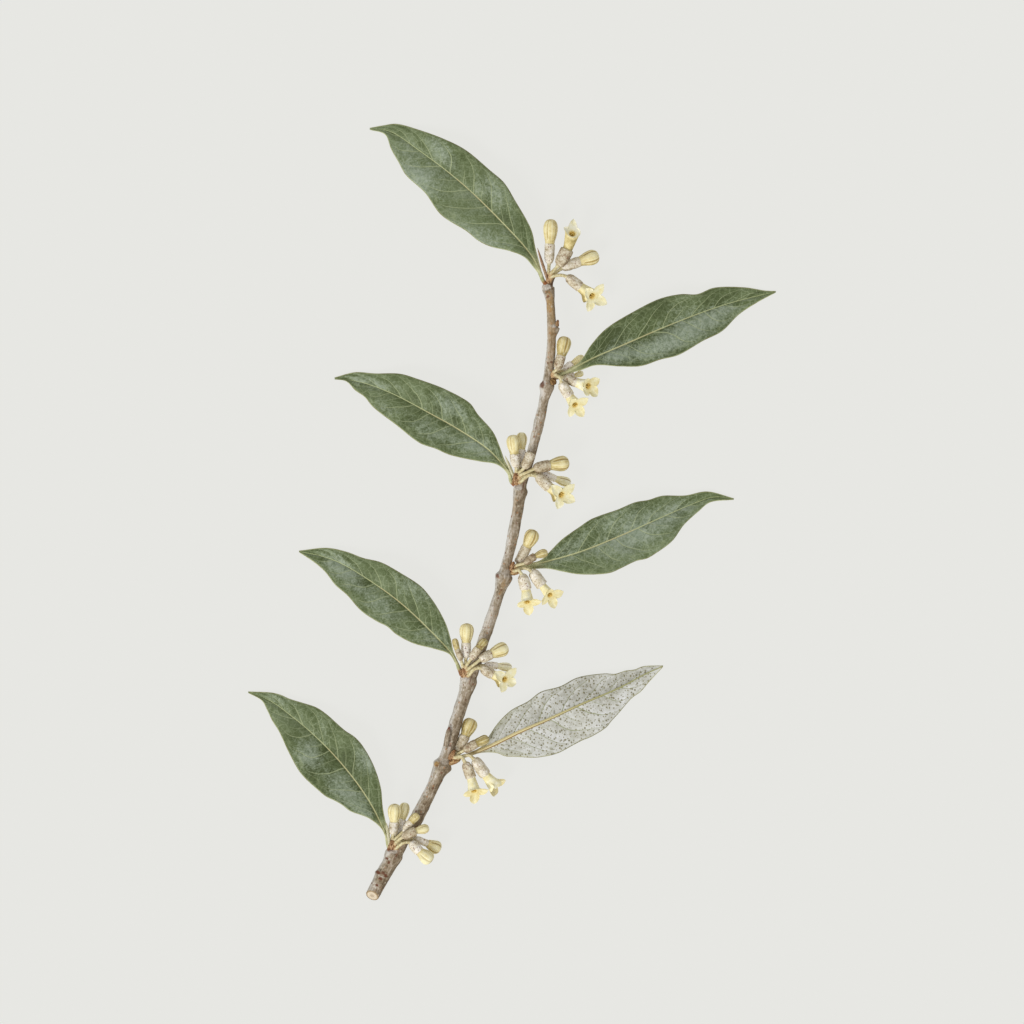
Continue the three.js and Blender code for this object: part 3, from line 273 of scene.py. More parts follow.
FLOWERS = [
    bloom("bud_1a", 1.25, 1.75, [(8.9, 59.9, 6.2), (9, 61.75, 5.7), (9.2, 66.55, 4.7), (9.5, 72.9, 5)],
          shade=0.5, turn=14, seams=0.6),
    bloom("flower_1b", 1.62, 1.72, [(9.8, 59.7, 6.9), (11.25, 61.3, 7.1), (13.55, 65.3, 6.9),
          (14.95, 69.75, 7.9)], [(0.2, 3.35), (-2.2, 1.2), (0.8, -1.4), (2, -0.1)], shade=0.55,
          base_shade=0.9, limb=-0.4, lobe_width=0.75),
    bloom("bud_1c", 1.3, 1.85, [(10.4, 59.3, 5.8), (12.2, 60.6, 5.2), (16.5, 62.3, 4.2),
          (21.4, 63.9, 3.2)], shade=0.3, base_shade=0.2, turn=-8, seams=1),
    bloom("flower_1d", 1.35, 1.75, [(9.8, 58.6, 6.7), (11.9, 58.9, 6.9), (13.4, 58.5, 6.7),
          (16.7, 56, 5.4), (20.2, 53.4, 5.6)], [(2.5, 3.3), (3.35, -1.75), (-1.45, -3.65), (-2, 2.1)],
          shade=0, base_shade=0.6, limb=-0.1, tail=0.9),
    bloom("bud_2a", 1.2, 1.75, [(10.4, 34.9, 6.5), (10.9, 35.35, 6.7), (12, 38.65, 6.6),
          (13.1, 43.55, 5.6)], shade=0.9, base_shade=0.9, turn=-20, seams=1),
    bloom("bud_2b", 1, 1.05, [(11, 34.5, 4.6), (12.6, 35.2, 3.9), (14.7, 36.7, 3), (17.8, 38.5, 2.2)],
          shade=0, base_shade=-1.1, seams=0.5),
    bloom("bud_2c", 0.75, 0.75, [(11.2, 33.3, 4.3), (12.6, 33.6, 3.7), (15.3, 33.9, 3.5),
          (17.6, 34.5, 3.4)], shade=-0.3, base_shade=-1.9, seams=0.4),
    bloom("flower_2d", 1.2, 1.7, [(11.5, 33.5, 6.14), (12.6, 33.3, 6), (15.8, 32.1, 5.8),
          (19.2, 31.1, 6)], [(2.5, 1.9), (2, -2.5), (-0.9, -2.4), (-1.4, 1.4)], shade=-0.4,
          base_shade=0.5, limb=0.1, gold=0.32),
    bloom("flower_2e", 1.36, 1.6, [(10.8, 33.9, 6.9), (11.8, 33.2, 7.9), (12.1, 32.1, 7.6), (14, 28.8, 6),
          (15.7, 26.2, 6)], [(3.2, 1.9), (2, -2.7), (-1.6, -2.75), (-1.3, 1.5)], shade=-0.1,
          base_shade=0.15, limb=0.1, gold=0.24),
    bloom("bud_3a", 1.25, 1.68, [(0.8, 10.1, 6.9), (0.8, 10.9, 7.1), (0.4, 14.1, 6.8), (-0.1, 19, 7.2)],
          shade=0.45, turn=20, seams=0.55),
    bloom("bud_3b", 1.1, 1.3, [(1.4, 9.7, 5.6), (1.8, 11, 4.7), (2.2, 15.2, 4.2), (2.1, 19.65, 3.9)],
          shade=0.05, base_shade=-1.3, seams=0.9),
    bloom("bud_3c", 1.22, 1.25, [(1.7, 9.7, 7.1), (2.7, 10.7, 8), (3.9, 13, 8.2), (4.5, 14.6, 8)],
          shade=0.45, base_shade=0.9, seams=0.1, spots=0.6, scurf=0.9, neck=1),
    bloom("bud_3d", 1.4, 1.85, [(2.2, 9.1, 7.6), (3.8, 9.8, 8.1), (5.2, 10.5, 7.9), (9, 11.4, 6.7),
          (14, 12.1, 5.5)], shade=0.55, base_shade=0.9, seams=1),
    bloom("bud_3e", 0.9, 1.2, [(2.1, 8.2, 7), (3.9, 9.4, 7.1), (7.2, 9.5, 5.7), (10.5, 8.1, 4.2),
          (14.4, 6.9, 3.4)], shade=-0.5, base_shade=-1.2, seams=1),
    bloom("flower_3f", 1.36, 1.7, [(2, 7.4, 7.5), (4, 8.9, 8.25), (5.8, 8.7, 7.85), (9, 6, 6.35),
          (12.5, 3.8, 6.45)], [(3, 2.9), (3.1, -1.5), (-1.35, -3.4), (-3, 2.6)], shade=-0.1,
          base_shade=0.35, limb=-0.1, tail=0.9),
    bloom("bud_4a", 1.3, 1.8, [(0.7, -13.7, 5.3), (1.3, -13.1, 4.8), (3.4, -9, 4.5), (5.35, -4.9, 6.2)],
          shade=0.55, base_shade=0.4, turn=-14, seams=1, full=0.7),
    bloom("bud_4b", 0.95, 1.05, [(1, -13.6, 6.4), (2.85, -13.05, 6.8), (5.45, -11.35, 6.7),
          (8.65, -10.25, 6.3)], shade=0.95, base_shade=1.25, seams=0.7),
    bloom("flower_4c", 1.42, 1.6, [(0.7, -14.95, 7.15), (1.35, -14.75, 7.4), (2.15, -15.9, 7),
          (3.2, -19.5, 5.8), (3.6, -23.2, 6.2)], [(-2.5, -0.7, -1), (0.5, -3, -2.2), (3.6, 0.7, 0.2),
          (0.1, 0.9, 1.7)], shade=-0.3, base_shade=0.1, limb=0.4, gold=0.2, tilt=0.8),
    bloom("flower_4d", 1.5, 1.4, [(1.5, -14.5, 6.5), (3.1, -14.3, 6.4), (4.6, -15.1, 6.1),
          (7.3, -18.6, 5.3), (9.5, -21.3, 5.8)], [(3.25, 1.05), (1, -3.1), (-2.2, -2.2), (0.1, 1.8)],
          shade=-0.15, base_shade=0.1, limb=0.25, full=0.3),
    bloom("bud_5a", 0.74, 0.8, [(-12.6, -38.5, 6.8), (-12.9, -37.4, 7), (-13.9, -34.6, 7),
          (-14.7, -31.85, 6.7)], shade=1.05, base_shade=0.9, spots=0.8, scurf=0.2, neck=0.6),
    bloom("bud_5b", 1.2, 1.72, [(-11.8, -38.4, 6.4), (-11.8, -36.8, 6), (-11.7, -33, 5.3),
          (-11.5, -28.1, 6.4)], shade=0.3, base_shade=-0.45, turn=0, seams=0.55),
    bloom("bud_5c", 1.05, 1, [(-11.5, -38.4, 7.3), (-10.5, -37, 7.7), (-8.6, -34.3, 8), (-6.7, -32, 8)],
          shade=1.3, base_shade=0.5, seams=0.3, spots=1, scurf=0.28, neck=0.85),
    bloom("bud_5d", 1.25, 1.75, [(-11, -39.3, 7.42), (-9.4, -38.1, 7.9), (-8.3, -37.2, 7.7),
          (-5.6, -35.8, 6.7), (-1.3, -33.95, 5.5)], shade=0.15, base_shade=0.2, seams=0.85),
    bloom("bud_5e", 0.9, 1.1, [(-11, -40.2, 7.05), (-9.3, -39.1, 7.1), (-7.1, -38.5, 5.7),
          (-4, -38.7, 4.5), (-0.3, -39.2, 3.7)], shade=-0.9, base_shade=-1.85, seams=0.9),
    bloom("flower_5f", 1.25, 1.6, [(-10.9, -40.9, 7.5), (-9.5, -39.4, 8.45), (-8, -39.3, 8.25),
          (-5.2, -40.8, 6.85), (-1.65, -42.2, 6.75)], [(2.55, 3), (2.5, -1.05), (-1.2, -3.15), (-2.9, 2)],
          shade=-0.05, base_shade=0.4, limb=-0.15, tail=0.9),
    bloom("bud_6a", 1.34, 1.85, [(-14.3, -60.8, 4.7), (-13.95, -60.1, 4.4), (-12.05, -56.3, 4.1),
          (-10.15, -51.9, 3.7)], shade=0.9, base_shade=0.75, turn=-14, seams=0.95, full=0.7),
    bloom("bud_6b", 1.15, 1.2, [(-14, -60.9, 5.9), (-12.25, -59.8, 6.6), (-9.25, -58.1, 6.5),
          (-6.05, -56.7, 6.1)], shade=1.35, base_shade=0.85, seams=0.4, neck=0.7, full=0.4),
    bloom("flower_6c", 1.3, 1.5, [(-14.2, -61.5, 6.8), (-13, -61.3, 7.1), (-12, -62.8, 6.8),
          (-10.5, -66.6, 5.5), (-9.6, -70.4, 5.8)], [(-2.8, -0.7, -0.9), (-0.1, -2.9, -2.2),
          (3.6, 0.5, 0.3), (0.2, 0.8, 1.7)], shade=-0.25, base_shade=0.7, limb=0.4, gold=0.28, tilt=0.8),
    bloom("flower_6d", 1.48, 1.68, [(-13.5, -61.6, 6), (-11.05, -61, 6.4), (-9.75, -62, 6.2),
          (-6.95, -65.8, 5.2), (-4.75, -68.4, 4)], [(3, 1, -1), (0.1, -3.1, -0.8), (0.9, -0.7, 1.1),
          (-0.2, -1, 1)], shade=-0.2, base_shade=0.2, limb=0.4, gold=0.3, full=0.3, tilt=0.75,
          lobe_width=1.7),
    bloom("bud_7a", 1.22, 1.65, [(-30.1, -81.7, 5), (-30, -80.8, 4.9), (-29.7, -77.8, 4.5),
          (-29.5, -73.2, 5.8)], shade=0.15, base_shade=0.2, turn=4, seams=0.6, full=0.3),
    bloom("bud_7b", 1.05, 1.3, [(-29.7, -82, 3.9), (-29, -80.9, 2.6), (-27.7, -77.2, 1.9),
          (-26.9, -72.9, 1.7)], shade=0, base_shade=-0.7, seams=0.8),
    bloom("bud_7c", 0.9, 1.03, [(-29.4, -82, 5.2), (-27.3, -79.95, 5.8), (-25.5, -77.65, 6.2),
          (-23.6, -75.75, 6.3)], shade=0.8, base_shade=0.1, seams=0.3, spots=0.6, scurf=0.25, neck=0.8),
    bloom("bud_7d", 1.2, 1.15, [(-29.1, -82.7, 5.9), (-27.6, -81.5, 7.1), (-24.4, -80, 7.1),
          (-21, -79.1, 6.2)], shade=0.1, base_shade=0.95, seams=0.6),
    bloom("bud_7e", 0.9, 1.64, [(-28.9, -83.2, 5.1), (-27.1, -82.5, 5.3), (-24.8, -81.9, 4.4),
          (-21.4, -83.1, 3.3), (-18.1, -84.6, 2.7)], shade=0.25, base_shade=-0.4, seams=0.95),
    bloom("bud_7f", 1.25, 1.8, [(-29, -84.1, 5.6), (-27.4, -82.9, 6.3), (-25.8, -82.8, 6),
          (-23.4, -85, 5), (-20.3, -87.5, 5.6)], base_shade=-0.2, turn=-24, seams=0.6),
]

# Each entry is a place along the middle line and a share of the greatest radius: 0 is the foot of
# the silvery base, 1 its upper end and 2 the top of the flower.
BASE_PROFILE = [(0, 0.38), (0.05, 0.58), (0.13, 0.76), (0.26, 0.91), (0.45, 1), (0.7, 1.03),
                (0.92, 1.03), (1, 1)]
BUD_PROFILE = [(1.03, 0.65), (1.1, 0.68), (1.25, 0.79), (1.45, 0.94), (1.6, 1), (1.72, 0.99),
               (1.82, 0.9), (1.9, 0.76), (1.96, 0.55), (1.99, 0.3), (2, 0.05)]
TUBE_PROFILE = [(1.03, 0.68), (1.15, 0.7), (1.4, 0.79), (1.7, 0.92)]
# The inside of an open flower: place, share of its radius, how far it faces as the mouth does, gold.
# The gold darkens towards the bottom, partly as the throat's colour and partly as painted shade.
THROAT = [(1.92, 0.78, 0.95, 0.04), (1.9, 0.56, 0.92, 0.14), (1.87, 0.4, 0.85, 0.3),
          (1.82, 0.33, 0.7, 0.48), (1.74, 0.3, 0.55, 0.62), (1.6, 0.28, 0.35, 0.78),
          (1.4, 0.27, 0.15, 0.9), (1.2, 0.26, 0, 1)]
# The stamens' place along the middle line.
STAMENS_AT = 1.87

# ---------------------------------------------------------------- the small pieces' numbers

# Name, kind, start, end and radius.
SMALL_PIECES = [
    ("bud_scales_1", "scale", (8.9, 56.9, 6), (8.7, 59.3, 6.5), 0.6),
    ("bud_scales_2", "scale", (9.7, 33.4, 5.8), (10.9, 34.4, 5.7), 0.6),
    ("bud_scales_3", "scale", (0.7, 6.5, 6.2), (0.8, 9.8, 6.9), 0.85),
    ("bud_scales_4", "scale", (-0.7, -14.7, 6.1), (0.3, -12.6, 6.9), 0.62),
    ("bud_scales_5", "scale", (-12.3, -41.5, 6.1), (-12.1, -38.9, 6.8), 1.05),
    ("bud_scales_6", "scale", (-16, -62, 6), (-14.4, -59.6, 6.7), 0.64),
    ("bud_scales_7", "scale", (-30.3, -84.5, 4.6), (-30.1, -82, 5.2), 1.05),
    ("resting_bud_2", "dark", (9.8, 32.5, 5.9), (10.5, 31.9, 7.3), 0.8),
    ("resting_bud_4", "bud", (-0.7, -15.6, 5.7), (1.8, -15.1, 5.6), 0.64),
    ("resting_bud_6", "bud", (-16, -63.1, 5.5), (-13, -61.9, 5.6), 0.68),
    ("side_bud_1", "scale", (10.85, 45.9, 5.4), (11.25, 47.8, 5.6), 0.48),
    ("side_bud_5", "side", (-16.8, -58.8, 6.6), (-15.9, -53.9, 6.8), 0.66),
    ("bract_1", "bract", (8.7, 57.6, 6.3), (6.1, 65.7, 7), 0.36),
    ("bract_3", "leafy", (0.5, 7.9, 6.4), (-2, 13.8, 6.5), 0.4),
    ("bract_7", "leafy", (-30.6, -84.2, 5.1), (-31.6, -77.9, 5.4), 0.42),
]

# Each kind's outline as (place, share of the radius), and how many scales lie round it.
BUD_SHAPE = [(0, 0.75), (0.15, 0.92), (0.35, 1), (0.6, 0.98), (0.8, 0.8), (0.93, 0.5), (1, 0.08)]
BRACT_SHAPE = [(0, 0.9), (0.2, 1), (0.5, 1), (0.8, 0.7), (1, 0.1)]
SMALL_SHAPES = {
    "scale": ([(0, 0.6), (0.15, 0.86), (0.3, 1), (0.5, 0.98), (0.7, 0.85), (0.88, 0.6), (1, 0.12)], 5),
    "bud": (BUD_SHAPE, 4),
    "dark": (BUD_SHAPE, 2),
    "side": ([(0, 0.8), (0.15, 0.95), (0.4, 1), (0.7, 0.95), (0.88, 0.7), (1, 0.1)], 4),
    "bract": (BRACT_SHAPE, 1),
    "leafy": (BRACT_SHAPE, 1),
}

# ---------------------------------------------------------------- curves and numbers

# Each random field is the sum of this many waves.
WAVES = 20

join = np.concatenate


def smooth(value):
    """0 below 0, 1 above 1 and an even S between."""
    t = np.clip(value, 0.0, 1.0)
    return t * t * (3.0 - 2.0 * t)


def bell(value, width):
    """1 where value is 0, falling away over width."""
    return np.exp(-(value / width) ** 2)


def unit(vectors):
    return vectors / np.maximum(np.linalg.norm(vectors, axis=-1, keepdims=True), 1e-9)


class Curve:
    """The smooth line through points that the CAD uses: a centripetal Catmull-Rom curve."""

    def __init__(self, points):
        p = np.array([[*point, 0.0][:3] for point in points], float)
        self.count = len(p)
        x = np.vstack([2 * p[0] - p[1], p, 2 * p[-1] - p[-2]])
        gap = np.sqrt(np.linalg.norm(np.diff(x, axis=0), axis=1))[:, None]
        x0, x1, x2, x3 = x[:-3], x[1:-2], x[2:-1], x[3:]
        d0, d1, d2 = gap[:-2], gap[1:-1], gap[2:]
        t1 = ((x1 - x0) / d0 - (x2 - x0) / (d0 + d1) + (x2 - x1) / d1) * d1
        t2 = ((x2 - x1) / d1 - (x3 - x1) / (d1 + d2) + (x3 - x2) / d2) * d1
        self.terms = (x1, t1, 3 * (x2 - x1) - 2 * t1 - t2, 2 * (x1 - x2) + t1 + t2)
        self.steps = np.linspace(0, 1, 201)
        lengths = np.linalg.norm(np.diff(self.point(self.steps), axis=0), axis=1)
        self.travelled = join([[0.0], np.cumsum(lengths)])
        self.length = self.travelled[-1]

    def _segment(self, share):
        place = np.atleast_1d(np.asarray(share, float)) * (self.count - 1)
        index = np.clip(np.floor(place).astype(int), 0, self.count - 2)
        return (place - index)[:, None], *(term[index] for term in self.terms)

    def point(self, share):
        w, c0, c1, c2, c3 = self._segment(share)
        return c0 + w * (c1 + w * (c2 + w * c3))

    def ahead(self, share):
        w, _, c1, c2, c3 = self._segment(share)
        return unit(c1 + w * (2 * c2 + 3 * w * c3))

    def share_at(self, along):
        """The curve's own parameter at a share of its length."""
        return np.interp(np.asarray(along) * self.length, self.travelled, self.steps)


def across(ahead):
    """Directions left of a way ahead and up from it."""
    side = unit(np.cross(UP, ahead))
    return side, unit(np.cross(ahead, side))


def ring(centre, ahead, radius, angles):
    """Points round each centre, as an array of rings. radius may differ from point to point."""
    side, top = across(ahead)
    radius = np.asarray(radius, float)
    while radius.ndim < 2:
        radius = radius[..., None]
    c, s = radius * np.cos(angles), radius * np.sin(angles)
    return centre[:, None] + c[..., None] * side[:, None] + s[..., None] * top[:, None]


def even_angles(count):
    return np.arange(count) * (math.tau / count)


def angle_from(angles, middle):
    """How far round each angle is from the middle one, -pi to pi."""
    return (angles - middle + math.pi) % math.tau - math.pi


def waves(points, size, seed):
    """A smooth random field over points, about -1 to 1, with bumps of about that size in mm."""
    rng = np.random.default_rng(seed)
    ways = unit(rng.normal(size=(WAVES, 3))) / (size * rng.uniform(0.7, 1.8, (WAVES, 1)))
    turns = rng.uniform(0, math.tau, WAVES)
    field = np.sin(math.tau * points.reshape(-1, 3) @ ways.T + turns).sum(axis=1) / math.sqrt(WAVES)
    return field.reshape(points.shape[:-1])


def rest_on_surface(rings):
    """Raises each ring that dips under the surface until its lowest point lies on it."""
    low = np.minimum(rings[..., 2].min(axis=1), 0.0)
    rings[..., 2] -= low[:, None]
    return rings


def profile(points, count):
    """Even steps along a smooth line through (spot, radius) points."""
    line = Curve(points)
    return line.point(line.share_at(np.linspace(0, 1, count)))[:, :2].T


# ---------------------------------------------------------------- pieces


def skin(rings, fields, first):
    """One closed skin over rings of points, with a fan of triangles over each end.

    Gives points, quads, triangles and a number per point for each field. first is its first point.
    """
    rows, count = rings.shape[:2]
    points = join([rings.reshape(-1, 3), rings[:1].mean(axis=1), rings[-1:].mean(axis=1)])
    around = np.arange(count)
    after = (around + 1) % count
    a, b = (np.arange(rows - 1)[:, None] * count + step for step in (around, after))
    quads = np.stack([a, b, b + count, a + count], axis=-1).reshape(-1, 4)
    last = (rows - 1) * count
    start, end = (np.full(count, rows * count + i) for i in (0, 1))
    triangles = join([np.stack([start, after, around], axis=-1),
                                np.stack([end, last + around, last + after], axis=-1)])
    filled = {}
    for field, values in fields.items():
        values = np.broadcast_to(values, (rows, count))
        filled[field] = join([values.ravel(), [values[0].mean(), values[-1].mean()]])
    return points, quads + first, triangles + first, filled


def make_piece(name, skins, surfaces, node=None):
    """A mesh of closed skins, each given as its rings and its fields, numbers for each point.

    With two surfaces, the first covers the first half of every ring and the second the rest.
    """
    parts = []
    for rings, fields in skins:
        parts.append(skin(rings, fields, sum(len(part[0]) for part in parts)))
    points, quads, triangles = (join([part[i] for part in parts]) for i in range(3))
    kinds = np.zeros(len(quads) + len(triangles), np.int32)
    if len(surfaces) == 2:
        rows, count = rings.shape[:2]
        kinds[:len(quads)] = np.tile(np.arange(count) >= count // 2, rows - 1)
    mesh = bpy.data.meshes.new(name)
    corners = join([quads.ravel(), triangles.ravel()]).astype(np.int32)
    starts = join([np.arange(len(quads)) * 4,
                             len(quads) * 4 + np.arange(len(triangles)) * 3]).astype(np.int32)
    mesh.vertices.add(len(points))
    mesh.vertices.foreach_set("co", (points * MM).astype(np.float32).ravel())
    mesh.loops.add(len(corners))
    mesh.loops.foreach_set("vertex_index", corners)
    mesh.polygons.add(len(starts))
    mesh.polygons.foreach_set("loop_start", starts)
    for surface in surfaces:
        mesh.materials.append(SURFACES[surface])
    mesh.polygons.foreach_set("material_index", kinds)
    mesh.polygons.foreach_set("use_smooth", np.ones(len(starts), bool))
    for field in parts[0][3]:
        values = join([part[3][field] for part in parts])
        mesh.attributes.new(field, "FLOAT", "POINT").data.foreach_set("value", values.astype(np.float32))
    mesh.update(calc_edges=True)
    mesh.validate()
    piece = bpy.data.objects.new(name, mesh)
    bpy.context.scene.collection.objects.link(piece)
    if node:
        check_fit(node, points)
        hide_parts(node)
    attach(piece, "root")


def check_fit(node, points):
    """Stops the script if a piece has drifted from the CAD node that it stands for."""
    low, high = (np.array(corner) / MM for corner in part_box(node))
    drift = max(np.abs(points.min(axis=0) - low).max(), np.abs(points.max(axis=0) - high).max())
    if drift > FIT_LIMIT:
        raise ValueError(f"{node} is {drift:.2f} mm off its CAD box")


# ---------------------------------------------------------------- materials


def linear(color):
    """A colour given as 0 to 255 in sRGB, as the linear RGBA that shaders take."""
    c = np.array(color, float) / 255.0
    c = np.where(c <= 0.04045, c / 12.92, ((c + 0.055) / 1.055) ** 2.4)
    return (*c, 1.0)


class Value:
    """A number, colour or vector in a material, so that sums read as sums."""

    def __init__(self, paint, socket):
        self.paint, self.socket = paint, socket

    def math(self, operation, other=0.0):
        return self.paint.node("Math", "Value", {0: self, 1: other}, operation=operation)

    def __add__(self, other):
        return self.math("ADD", other)

    def __sub__(self, other):
        return self.math("SUBTRACT", other)

    def __mul__(self, other):
        return self.math("MULTIPLY", other)

    def __truediv__(self, other):
        return self.math("DIVIDE", other)

    def step(self, low, high, start, end):
        """start where this is low, end where it is high, and smooth between them."""
        inputs = dict(enumerate((self, low, high, start, end)))
        return self.paint.node("MapRange", "Result", inputs, interpolation_type="SMOOTHSTEP")

    def rise(self, low, high):
        return self.step(low, high, 0.0, 1.0)

    def fall(self, low, high):
        return self.step(low, high, 1.0, 0.0)

    def band(self, middle, half, soft):
        """1 within half of middle, falling to 0 over soft."""
        return (self - middle).math("ABSOLUTE").fall(half, half + soft)


class Paint:
    """Builds one node material."""

    def __init__(self, name, roughness, specular):
        self.material = bpy.data.materials.new(name)
        self.material.use_nodes = True
        self.tree = self.material.node_tree
        self.tree.nodes.clear()
        self.shader = self.tree.nodes.new("ShaderNodeBsdfPrincipled")
        self.feed("Roughness", roughness)
        self.feed("Specular IOR Level", specular)
        output = self.tree.nodes.new("ShaderNodeOutputMaterial")
        self.tree.links.new(self.shader.outputs["BSDF"], output.inputs["Surface"])
        self.place = self.vector("SCALE", self.node("TexCoord", "Object", {}), {"Scale": 1.0 / MM})

    def feed(self, key, value, node=None):
        """Gives an input of the shader, or of another node, a value or a link."""
        socket = (self.shader if node is None else node).inputs[key]
        if isinstance(value, Value):
            self.tree.links.new(value.socket, socket)
        else:
            socket.default_value = value

    def node(self, kind, output, inputs, **settings):
        """Adds a node with these inputs and settings, and gives back one of its outputs."""
        made = self.tree.nodes.new("ShaderNode" + kind)
        for setting, value in settings.items():
            setattr(made, setting, value)
        for key, value in inputs.items():
            self.feed(key, value, made)
        return Value(self, made.outputs[output])

    def field(self, name):
        return self.node("Attribute", "Fac", {}, attribute_name=name)

    def vector(self, operation, vector, inputs):
        return self.node("VectorMath", "Vector", {0: vector, **inputs}, operation=operation)

    def combine(self, x, y, z):
        return self.node("CombineXYZ", "Vector", {0: x, 1: y, 2: z})

    def shifted(self, place, shift):
        return self.vector("ADD", place, {1: (shift, shift, 0.0)})

    def warped(self, size, amount):
        """This material's place, moved about by clouds of that size, by up to half the amount."""
        cloud = self.noise(size, output="Color")
        shift = self.vector("SUBTRACT", cloud, {1: (0.5, 0.5, 0.5)})
        return self.vector("ADD", self.place, {1: self.vector("SCALE", shift, {"Scale": amount})})

    def noise(self, size, detail=2.0, rough=0.5, place=None, warp=0.0, output="Fac"):
        """Cloudy noise of about that size in mm, 0 to 1 with most of it near 0.5."""
        return self.node("TexNoise", output, {
            "Vector": place or self.place, "Scale": 1.0 / size, "Detail": detail,
            "Roughness": rough, "Distortion": warp})

    def cells(self, size, place=None, random=1.0, flat=False, feature="F1"):
        """Distances in scattered cells of about that size. Flat cells don't change with height."""
        inputs = {"Vector": place or self.place, "Scale": 1.0 / size, "Randomness": random}
        dimensions = "2D" if flat else "3D"
        return self.node("TexVoronoi", "Distance", inputs, feature=feature,
                         voronoi_dimensions=dimensions)

    def swing(self, start, *parts):
        """start, and how far each noise is from its middle, 0.5, times its weight."""
        for noise, weight in parts:
            start = (noise - 0.5) * weight + start
        return start

    def mix(self, share, a, b):
        a, b = (color if isinstance(color, Value) else linear(color) for color in (a, b))
        return self.node("Mix", 2, {"Factor": share, 6: a, 7: b}, data_type="RGBA")

    def layers(self, color, *layers):
        """Colours laid over a first one, each given as (share, colour)."""
        for share, over in layers:
            color = self.mix(share, color, over)
        return color

    def ramp(self, value, *stops):
        """Colours along value: each stop is (place, colour)."""
        made = self.node("ValToRGB", "Color", {"Fac": value})
        elements = made.socket.node.color_ramp.elements
        while len(elements) < len(stops):
            elements.new(0.5)
        for element, (place, color) in zip(elements, stops):
            element.position = place
            element.color = linear(color)
        return made

    def finish(self, color, height, strength=0.6):
        """Connects the colour and a relief height in mm."""
        inputs = {"Strength": strength, "Distance": MM, "Height": height}
        self.feed("Base Color", color)
        self.feed("Normal", self.node("Bump", "Normal", inputs))
        return self.material


# ---------------------------------------------------------------- the plant's surfaces


def leaf_veins(p):
    """Distance from the rib, distance from the margin, vein count, share of the way out, along."""
    rib, edge = p.field("rib_mm"), p.field("edge_mm")
    off = rib.math("ABSOLUTE")
    left, right = p.field("vein_left"), p.field("vein_right")
    phase = left + rib.rise(-0.01, 0.01) * (right - left)
    phase = phase + (p.noise(6.0) - 0.5) * 0.3
    return off, edge, phase, off / (off + edge + 0.01), p.field("along")


def vein_lines(phase, reach):
    """Side veins, the finer veins between them, and the arches that join them near the margin."""
    main = phase.math("PINGPONG", 0.5).fall(0.01, 0.036) * reach.fall(0.7, 0.92)
    between = (phase + 0.5).math("PINGPONG", 0.5)
    minor = between.fall(0.008, 0.03) * reach.step(0.2, 0.6, 0.6, 0.0)
    arch_at = (phase * math.tau).math("COSINE") * 0.05 + 0.84
    arch = reach.band(arch_at, 0.006, 0.03) * 0.25
    return main.math("MAXIMUM", minor).math("MAXIMUM", arch)


def stalk_paint(p, color, along, patch, light, dark):
    """A leaf stalk: its own colours, and a red-brown foot."""
    own = p.mix(patch.rise(0.35, 0.65), dark, light)
    own = p.mix(along.fall(-0.8, -0.4), own, (140, 88, 52))
    return p.mix(along.fall(-0.02, 0.11), color, own)


def leaf_top_surface():
    p = Paint("leaf_top", 0.55, 0.2)
    off, edge, phase, reach, along = leaf_veins(p)
    blade = along.rise(0.0, 0.03)
    since = phase.math("FRACT")
    cloud = p.noise(8.0, 3.0, 0.55)
    patch = p.noise(2.4, 4.0, 0.65, warp=0.6)
    grain = p.noise(0.9, 4.0, 0.7, warp=0.8)
    fine = p.noise(0.35, 2.0, 0.6)
    by_rib = off.fall(0.3, 4.0) * p.noise(5.0).rise(0.4, 0.65)
    # Painted shade just past each side vein near the rib and painted light just before the next, as on a
    # quilted blade under the light.
    painted_shade_after_vein = since.rise(0.02, 0.12) * since.fall(0.2, 0.7) * by_rib
    painted_light_before_vein = since.rise(0.3, 0.8) * since.fall(0.9, 1.0)
    tone = p.swing(0.5, (cloud, 1.2), (patch, 0.5), (grain, 0.9), (fine, 0.8))
    tone = tone - painted_shade_after_vein * 0.3 + painted_light_before_vein * 0.06 + p.field("tone")
    green = p.ramp(tone, (0.0, (70, 80, 46)), (0.3, (90, 102, 64)), (0.55, (108, 120, 84)),
                   (0.8, (122, 134, 101)), (1.0, (136, 147, 116)))
    sheen = p.swing(p.field("silver"), (patch, 0.5), (grain, 1.0), (fine, 0.9))
    sheen = sheen + painted_light_before_vein * 0.1 - painted_shade_after_vein * 0.25
    silver = p.mix(grain.rise(0.3, 0.7), (126, 139, 116), (160, 170, 150))
    net = p.cells(2.1, p.warped(2.0, 1.6), flat=True, feature="DISTANCE_TO_EDGE")
    net_line = net.fall(0.015, 0.06) * cloud.step(0.35, 0.65, 0.1, 0.5)
    vein = vein_lines(phase, reach) * blade
    on_rib = (off - along.step(0.0, 1.0, 0.15, 0.04)).fall(-0.03, 0.1)
    rib_color = p.ramp(along + (patch - 0.5) * 0.8, (0.0, (176, 172, 126)), (0.2, (188, 190, 144)),
                       (0.45, (188, 180, 134)), (0.6, (182, 187, 140)), (1.0, (168, 177, 130)))
    margin_color = p.mix(patch.rise(0.45, 0.6), (178, 182, 134), (150, 148, 98))
    color = p.layers(green, (sheen.rise(0.05, 1.05), silver), (net_line * blade, (152, 163, 128)),
                     (vein * 0.72, (164, 173, 132)), (on_rib * 0.92, rib_color),
                     (edge.fall(0.1, 0.3) * 0.85, margin_color))
    color = stalk_paint(p, color, along, patch, (206, 204, 160), (156, 158, 110))
    return p.finish(color, grain * 0.06 + vein * -0.06 + net * 0.05)


